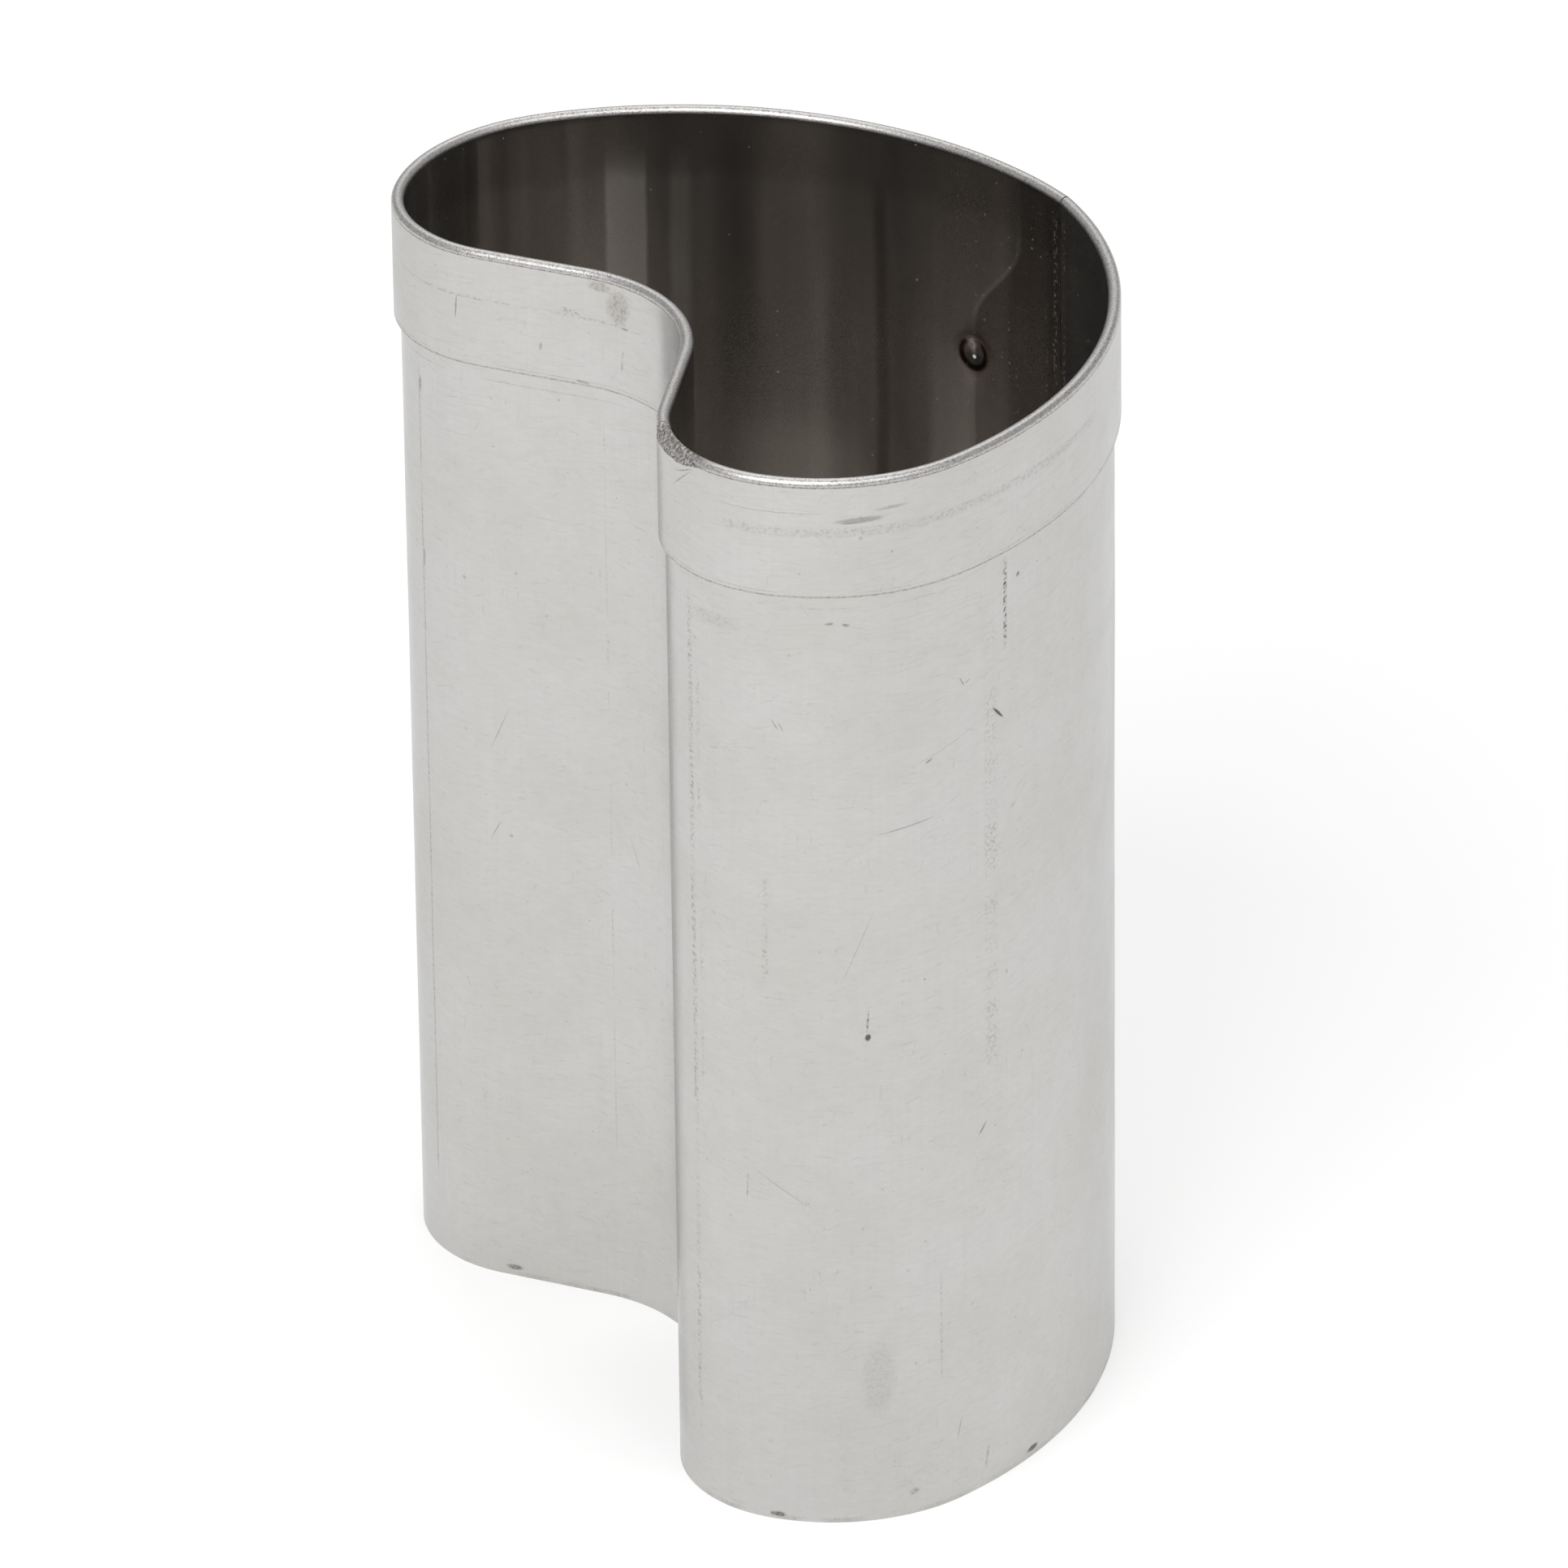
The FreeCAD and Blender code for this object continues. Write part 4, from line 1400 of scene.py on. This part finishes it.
@dataclass(frozen=True, kw_only=True)
class InsideFinish(Finish):
    """The inside: smooth steel that mirrors itself, a little browned, with painted reflections, shade and
    highlights laid on it.

    Args:
        sizes: sizes of the strip.
        wall_length: length of the wall along the outline, in millimetres.
        burnt_and_shaded: colour of the ring round a weld: heat tint, with painted shade.
        shadow: colour of the painted shade: the darker bands, the field by the seam and the band under the
            rim.
        pale: colour of dust and of pale scratches, and of the painted highlights: the lighter bands, the
            line along the field's edge and the point in each weld.
        browned: colour outside the ring.
        pale: colour of dust and of the lighter bands.
        painted_sheens: the bands of painted reflection.
        rim_shadow: heights over which the painted shadow under the rim sets in.
        field_start: heights over which the painted dark field by the seam sets in.
        field_curve: heights over which its edge curves from the weld to the seam.
        field_top: how far from the seam the edge ends, in millimetres.
        seam_dust: the lines of dust, counted back from the wall's end where below 0.
    """

    sizes: StripSizes
    wall_length: float
    name: str = "steel_inside"
    colour: Colour = (0.535, 0.508, 0.48)
    burnt_and_shaded: Colour = (0.07, 0.045, 0.03)
    shadow: Colour = (0.25, 0.225, 0.205)
    browned: Colour = (0.22, 0.13, 0.085)
    pale: Colour = (0.92, 0.9, 0.865)
    roughness: float = 0.085
    metallic: float = 0.955
    painted_sheens: tuple[PaintedSheen, ...] = PAINTED_SHEENS
    rim_shadow: tuple[float, float] = (55.9, 57.1)
    field_start: tuple[float, float] = (38.0, 44.0)
    field_curve: tuple[float, float] = (50.5, 56.0)
    field_top: float = 3.4
    seam_dust: tuple[DirtAndShadeLine, ...] = (
        DirtAndShadeLine(False, 0.4, 20.0, 60.0, 0.4, 0.75, 0.22, 1.0),
        DirtAndShadeLine(False, 1.2, 20.0, 60.0, 0.3, 0.4, 0.22, 1.0),
        DirtAndShadeLine(False, -0.4, 20.0, 60.0, 0.35, 0.6, 0.22, 1.0),
    )

    def lay(self, look: Look) -> None:
        """Lays rolling lines, specks, scratches and the painted reflections, lighter and darker bands, on
        the metal.

        Args:
            look: the look that they are laid on.
        """
        effects = look.effects
        lines = look.effect(effects.streaks, spacing=0.3, length=18.0, seed=21.0)
        look.shade(lines, 0.3, 0.7, 0.97, 1.02)
        broad = look.effect(effects.streaks, spacing=2.6, length=50.0, seed=25.0)
        look.shade(broad, 0.35, 0.65, 0.9, 1.06)
        patches = look.effect(effects.cloud, size=7.0, sharpness=0.2, seed=12.0)
        look.roughen(patches, 0.05)
        specks = look.effect(effects.specks, spread=1.3, diameter=0.1, share=0.12, seed=14.0)
        look.cover(specks, self.pale, 0.6)
        scratch = look.effect(effects.scratches, length=1.6, spread=1.4, width=0.03, tilt=84.0,
                              fan=0.5, share=0.25, seed=15.0)
        look.tint(scratch, self.pale, 0.2)
        # Painted reflections: the lighter bands are tinted pale, the darker ones with the painted shade
        # colour.
        for band in self.painted_sheens:
            mask = look.effect(effects.band, along=band.along, width=band.width, low=band.low,
                               high=band.high, edge=band.edge)
            look.tint(mask, self.pale if band.strength > 0 else self.shadow, abs(band.strength))
            look.roughen(mask, max(0.0, band.strength) * 0.1)
        self.paint_shade_and_highlight(look)
        self.burn(look)
        self.dust(look)
        look.raise_by(look.noise(look.solid, 4.0, 2.0), 0.0004)

    def paint_shade_and_highlight(self, look: Look) -> None:
        """Paints shade on the strip under the rim and on the field between the seam and the weld, with a
        painted highlight along the field's edge.

        Args:
            look: the look that they are laid on.
        """
        wander = look.noise(look.place, 0.22, 3.0) - 0.5
        # Painted shadow under the rim.
        look.tint((look.y + wander * 2.4).ease(*self.rim_shadow), self.shadow, 0.32)
        # Painted shade over the field between the seam and the weld, with a curved edge.
        beside = look.x - look.y.ease(*self.field_curve, self.sizes.weld_from_seam, self.field_top)
        painted_field_shade = beside.ease(-0.25, 0.05, 1.0, 0.0) * look.y.ease(*self.field_start)
        look.tint(painted_field_shade, self.shadow, 0.6)
        # Painted highlight: a pale line along the field's curved edge.
        edge = abs(beside).ease(0.05, 0.3, 1.0, 0.0)
        look.tint(edge * (look.y.fit(49.6, 51.0) * look.y.fit(54.0, 58.0, 1.0, 0.0)), self.pale, 0.4)

    def burn(self, look: Look) -> None:
        """Browns a ring round each spot weld, open at its top, with a painted highlight point in it. The
        dark ring is partly heat tint and partly painted shade of the weld's dish.

        Args:
            look: the look that they are laid on.
        """
        half = self.sizes.weld_pitch / 2
        beside = look.x - self.sizes.weld_from_seam
        above = look.math("WRAP", look.y - self.sizes.weld_lowest, half, -half)
        far = look.distance(beside, above)
        # The dark ring is partly heat tint and partly painted shade in the dish's sides, left open at its
        # top.
        upwards = (above / far.most(0.01)).ease(0.7, 0.95, 1.0, 0.2)
        ring = abs(far - 0.8).ease(0.05, 0.26, 0.95, 0.0)
        halo = far.ease(0.9, 1.6, 0.45, 0.0) * far.fit(0.7, 0.9)
        look.tint(halo, self.browned)
        look.tint(ring * upwards, self.burnt_and_shaded)
        # Painted highlight: a pale point just below each weld's middle.
        drop = look.math("POWER", beside, 2.0) + look.math("POWER", above + 0.2, 2.0)
        look.cover(drop.ease(0.004, 0.022, 1.0, 0.0), self.pale)
        look.raise_by(far.ease(0.0, 0.5, 1.0, 0.0), -0.05)

    def dust(self, look: Look) -> None:
        """Adds the pale specks that sit along the seam.

        Args:
            look: the look that they are laid on.
        """
        grain = look.noise(look.place, 5.0, 5.0).ease(0.52, 0.6)
        for line in self.seam_dust:
            look.cover(look.line(replace(line, at=line.at % self.wall_length), grain), self.pale)
        far_side = look.x.fit(self.wall_length - 5.0, self.wall_length - 2.0)
        near = look.x.fit(6.0, 9.0, 1.0, 0.0).most(far_side)
        motes = look.effect(look.effects.specks, spread=0.6, diameter=0.13, share=0.28, seed=33.0)
        look.cover(motes * near, self.pale, 0.28)


@dataclass(frozen=True, kw_only=True)
class RimFinish(Finish):
    """The folded rim: strained to a fine grain, with dirt held at its edges.

    Args:
        sizes: sizes of the strip.
        grime: colour of the dirt.
    """

    sizes: StripSizes
    name: str = "steel_rim"
    colour: Colour = (0.61, 0.595, 0.58)
    grime: Colour = (0.13, 0.115, 0.105)
    roughness: float = 0.34

    def lay(self, look: Look) -> None:
        """Lays the grain, its dirt and the pits of the crushed part on the metal.

        Args:
            look: the look that they are laid on.
        """
        effects = look.effects
        grain = look.noise(look.solid, 9.5, 5.0)
        look.shade(grain, 0.35, 0.65, 0.82, 1.12)
        worn = look.effect(effects.cloud, size=5.0, sharpness=0.4, seed=41.0)
        look.tint(grain.ease(0.36, 0.48, 1.0, 0.0) * worn, self.grime, 0.4)
        specks = look.effect(effects.specks, spread=0.35, diameter=0.1, share=0.2, seed=2.0)
        look.tint(specks, self.grime, 0.3)
        first = self.sizes.pinch_place - self.sizes.pinch_length / 2
        last = self.sizes.pinch_place + self.sizes.pinch_length / 2
        crushed = look.x.fit(first - 0.25, first - 0.1) * look.x.fit(last - 1.3, last, 1.0, 0.0)
        pits = look.noise(look.solid, 7.0, 5.0).ease(0.35, 0.62)
        look.tint(crushed * pits, self.grime, 0.75)
        look.roughen(crushed, 0.35)
        look.raise_by(crushed * pits, -0.014)
        look.roughen(grain, 0.1)
        look.raise_by(grain, 0.015)


@dataclass(frozen=True, kw_only=True)
class EdgeFinish(Finish):
    """The cut edges of the sheet: dull, and darkened by dirt.

    Args:
        grime: colour of the dirt.
    """

    name: str = "steel_cut_edge"
    colour: Colour = (0.36, 0.34, 0.32)
    grime: Colour = (0.10, 0.085, 0.075)
    roughness: float = 0.42

    def lay(self, look: Look) -> None:
        """Lays patches of dirt on the metal.

        Args:
            look: the look that they are laid on.
        """
        look.tint(look.effect(look.effects.cloud, size=1.4, sharpness=0.6, seed=31.0), self.grime, 0.7)
        look.raise_by(look.noise(look.solid, 6.0, 2.0), 0.004)


class Cutter:
    """The cutter: one strip, folded at the rim, bent to a heart and lapped at its point."""

    NAME = "cutter"
    NODE = "cutter_body"
    BODY = "root"
    SLOT = "steel"
    SHARP = radians(40)

    # Steps of the mesh: fine in a window round each weld, and otherwise coarse along and tall.
    WINDOW = 2.4
    FINE = 0.15
    COARSE = 0.48
    TALL = 1.3

    # Stretches of the sheet beside the fold that have rows of their own.
    BELOW_FOLD = 1.0
    PAST_FOLD = 1.2

    def __init__(self, sizes: StripSizes, effects: Effects) -> None:
        """Works out the outline and makes the finishes.

        Args:
            sizes: sizes of the strip.
            effects: the shared shader groups.
        """
        self.sizes = sizes
        self.outline = Outline(sizes)
        self.finishes = {
            "outside": OutsideFinish().build(effects),
            "inside": InsideFinish(sizes=sizes, wall_length=self.outline.wall_length).build(effects),
            "rim": RimFinish(sizes=sizes).build(effects),
            "edge": EdgeFinish().build(effects),
        }

    @staticmethod
    def spaced(length: float, windows: list[tuple[float, float, float]], coarse: float) -> list[Stretch]:
        """Divides a length finely in some windows and coarsely between them.

        Args:
            length: the whole length in millimetres.
            windows: middle, width and step of each fine window, in order.
            coarse: step between the windows.

        Returns:
            The stretches, from one end to the other.
        """
        found, reached = [], 0.0
        for middle, width, step in windows:
            low = max(reached, middle - width / 2)
            high = min(length, middle + width / 2)
            if low - reached > 1e-6:
                found.append(Stretch(max(1, round((low - reached) / coarse)), low - reached))
            found.append(Stretch(max(1, round((high - low) / step)), high - low))
            reached = high
        if length - reached > 1e-6:
            found.append(Stretch(max(1, round((length - reached) / coarse)), length - reached))
        return found

    def wall_rows(self, height: float) -> list[Stretch]:
        """Divisions up the wall, fine at the welds.

        Args:
            height: height of the wall in millimetres.

        Returns:
            The stretches, from the cutting edge up.
        """
        s = self.sizes
        welds = [s.weld_lowest + i * s.weld_pitch for i in range(s.weld_count)]
        return self.spaced(height, [(z, self.WINDOW, self.FINE) for z in welds], self.TALL)

    def make_part(self, name: str, arcs: list[Arc], columns: list[Stretch], rows: list[Stretch],
                  values: dict[str, Value]) -> bpy.types.Object:
        """Folds one part of the strip with geometry nodes.

        Args:
            name: name of the part.
            arcs: the line that it follows.
            columns: divisions along the strip.
            rows: divisions across the strip.
            values: the inputs in which the part differs.

        Returns:
            The part as a plain mesh.
        """
        s = self.sizes
        line = self.outline.path(arcs)
        modifier = line.modifiers.new("folded strip", "NODES")
        modifier.node_group = FoldedStrip(columns, rows).tree
        shared = {name: float(getattr(s, name)) for name in (
            "gauge", "fold_height", "fold_radius", "weld_lowest", "weld_pitch", "weld_diameter",
            "weld_dent", "weld_count", "pinch_place", "pinch_length")}
        set_inputs(modifier, {**shared, **self.finishes, **values})
        settled = line.evaluated_get(bpy.context.evaluated_depsgraph_get())
        mesh = bpy.data.meshes.new_from_object(settled)
        bpy.data.objects.remove(line)
        piece = bpy.data.objects.new(name, mesh)
        bpy.context.collection.objects.link(piece)
        return piece

    def make_wall(self) -> bpy.types.Object:
        """The hemmed wall, from the seam once round to the heart's point.

        Returns:
            The wall's mesh object.
        """
        s = self.sizes
        columns = self.spaced(self.outline.wall_length, [
            (s.weld_from_seam, self.WINDOW, self.FINE),
            (s.pinch_place, s.pinch_length + 0.4, self.FINE)], self.COARSE)
        rows = self.wall_rows(s.fold_height - self.BELOW_FOLD)
        rows += [Stretch(3, self.BELOW_FOLD), Stretch(14, pi * s.fold_radius),
                 Stretch(4, self.PAST_FOLD), Stretch(6, s.flap_length - self.PAST_FOLD)]
        return self.make_part("wall", self.outline.wall, columns, rows, {
            "weld_place": s.weld_from_seam, "weld_face": Face.INSIDE.value})

    def make_tongue(self) -> bpy.types.Object:
        """The plain tongue that carries on from the wall and laps over its start.

        Returns:
            The tongue's mesh object.
        """
        s = self.sizes
        place = self.outline.tongue_weld
        columns = self.spaced(self.outline.tongue_length, [
            (0.4, 0.8, 0.1), (place, self.WINDOW, self.FINE)], 0.3)
        return self.make_part("tongue", self.outline.tongue, columns, self.wall_rows(s.tongue_height), {
            "start": self.outline.wall_length, "weld_face": Face.OUTSIDE.value,
            "weld_place": self.outline.wall_length + place})

    def build(self) -> bpy.types.Object:
        """Builds the cutter and ties it to the frame.

        Returns:
            The finished piece.
        """
        parts = [self.make_wall(), self.make_tongue()]
        bpy.ops.object.select_all(action="DESELECT")
        for part in parts:
            part.select_set(True)
        bpy.context.view_layer.objects.active = parts[0]
        bpy.ops.object.join()
        piece = parts[0]
        piece.name = self.NAME
        piece.data.name = self.NAME
        piece.data.shade_smooth()
        piece.data.set_sharp_from_angle(angle=self.SHARP)
        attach(piece, self.BODY)
        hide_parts(self.NODE)
        return piece


@dataclass(frozen=True)
class Lamp:
    """A soft rectangular lamp that looks at the cutter.

    Args:
        name: name of the lamp.
        azimuth: direction in degrees, counted from +X towards +Y.
        elevation: angle above the floor in degrees.
        distance: distance from the cutter in metres.
        size: side in metres.
        power: power in watts.
    """

    name: str
    azimuth: float
    elevation: float
    distance: float
    size: float
    power: float

    def build(self, aim: Vector) -> bpy.types.Object:
        """Makes the lamp.

        Args:
            aim: place that it looks at.

        Returns:
            The lamp's object.
        """
        data = bpy.data.lights.new(self.name, "AREA")
        data.size = self.size
        data.energy = self.power
        turn, lift = radians(self.azimuth), radians(self.elevation)
        away = Vector((cos(turn) * cos(lift), sin(turn) * cos(lift), sin(lift)))
        lamp = bpy.data.objects.new(self.name, data)
        lamp.location = aim + away * self.distance
        lamp.rotation_euler = away.to_track_quat("Z", "Y").to_euler()
        bpy.context.collection.objects.link(lamp)
        return lamp


@dataclass(frozen=True)
class Studio:
    """The pale floor, the soft light and the camera.

    The floor glows, and the world has its other strength, only where the camera or the metal
    sees them; neither changes the light that falls on the cutter. Aside and above say how far
    the camera looks past the cutter's middle, in metres.
    """

    floor_radius: float = 3.0
    floor_sides: int = 96
    floor_colour: tuple[float, float, float] = (0.55, 0.55, 0.55)
    floor_glow: float = 0.51
    world_level: float = 0.45
    world_seen: float = 0.42
    azimuth: float = radians(61.2913)
    elevation: float = radians(28.7314)
    roll: float = radians(-0.6932)
    distance: float = 0.79224
    lens: float = 354.3
    aside: float = 1.498 * MM
    above: float = 0.0995 * MM
    middle: Vector = field(default_factory=lambda: Vector((0.0, -0.000175, 0.03)))
    lamps: tuple[Lamp, ...] = (
        Lamp("key_lamp", -55.0, 48.0, 0.55, 0.3, 1.5),
        Lamp("fill_lamp", 10.0, 50.0, 0.8, 0.4, 1.0),
        Lamp("back_lamp", 150.0, 58.0, 1.0, 0.8, 2.4),
    )

    @staticmethod
    def seen(graph: Graph) -> Wire:
        """1 where the camera, a mirroring metal or a clear thing sees it, and otherwise 0.

        Args:
            graph: graph of the floor's or the world's shader.

        Returns:
            The number.
        """
        path = graph.add("ShaderNodeLightPath").outputs
        seen = graph.math("MAXIMUM", path["Is Camera Ray"], path["Is Glossy Ray"])
        return seen.most(path["Is Transmission Ray"])

    def make_floor(self) -> bpy.types.Object:
        """The floor: pale, and white where the camera or the metal sees it unshaded.

        Returns:
            The floor's object.
        """
        mesh = bpy.data.meshes.new("floor")
        turn = 2 * pi / self.floor_sides
        middle = Vector((0.0, 0.0))
        ring = [polar(middle, self.floor_radius, turn * i).to_3d() for i in range(self.floor_sides)]
        mesh.from_pydata(ring, [], [tuple(range(self.floor_sides))])
        floor = bpy.data.objects.new("floor", mesh)
        bpy.context.collection.objects.link(floor)
        material = bpy.data.materials.new("pale_floor")
        material.use_nodes = True
        graph = Graph(material.node_tree)
        shader = material.node_tree.nodes["Principled BSDF"]
        shader.inputs["Base Color"].default_value = (*self.floor_colour, 1.0)
        shader.inputs["Roughness"].default_value = 0.9
        shader.inputs["Specular IOR Level"].default_value = 0.0
        shader.inputs["Emission Color"].default_value = (1.0, 1.0, 1.0, 1.0)
        graph.feed(shader.inputs["Emission Strength"], self.seen(graph) * self.floor_glow)
        mesh.materials.append(material)
        return floor

    def make_world(self) -> None:
        """The even light from all round."""
        world = bpy.data.worlds.new("studio")
        world.use_nodes = True
        graph = Graph(world.node_tree)
        back = world.node_tree.nodes["Background"]
        back.inputs["Color"].default_value = (1.0, 1.0, 1.0, 1.0)
        strength = self.seen(graph).fit(0.0, 1.0, self.world_level, self.world_seen)
        graph.feed(back.inputs["Strength"], strength)
        bpy.context.scene.world = world

    def make_camera(self) -> bpy.types.Object:
        """The camera, where the photograph was taken from.

        Returns:
            The camera's object.
        """
        level = Vector((-sin(self.azimuth), cos(self.azimuth), 0.0))
        right = Vector((cos(self.azimuth), sin(self.azimuth), 0.0))
        view = level * cos(self.elevation) - Vector((0.0, 0.0, sin(self.elevation)))
        up = right.cross(view)
        side = right * cos(self.roll) + up * sin(self.roll)
        top = up * cos(self.roll) - right * sin(self.roll)
        data = bpy.data.cameras.new("camera")
        data.lens = self.lens
        data.sensor_width = 36.0
        data.clip_start = 0.01
        data.clip_end = 50.0
        camera = bpy.data.objects.new("camera", data)
        aim = self.middle - side * self.aside + top * self.above
        turn = Matrix((side, top, -view)).transposed().to_4x4()
        camera.matrix_world = Matrix.Translation(aim - view * self.distance) @ turn
        bpy.context.collection.objects.link(camera)
        bpy.context.scene.camera = camera
        return camera

    def build(self) -> None:
        """Builds the studio round the cutter."""
        self.make_floor()
        self.make_world()
        for lamp in self.lamps:
            lamp.build(self.middle)
        self.make_camera()
        bpy.context.scene.view_settings.view_transform = "Standard"


def main() -> None:
    """Builds the cutter and its studio, and reports each piece."""
    logging.basicConfig(level=logging.INFO, format="%(message)s")
    low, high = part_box(Cutter.NODE)
    sizes = StripSizes.from_box(low, high)
    log.info("strip: %.2f mm high, heart %.2f mm wide", sizes.height, sizes.heart_width)
    effects = Effects()
    cutter = Cutter(sizes, effects)
    piece = cutter.build()
    triangles = sum(len(face.vertices) - 2 for face in piece.data.polygons)
    log.info("cutter: %.2f mm of wall, %.2f mm of tongue, %d triangles",
             cutter.outline.wall_length, cutter.outline.tongue_length, triangles)
    Studio().build()
    log.info("studio: floor, light and camera")


if __name__ == "__main__":
    main()
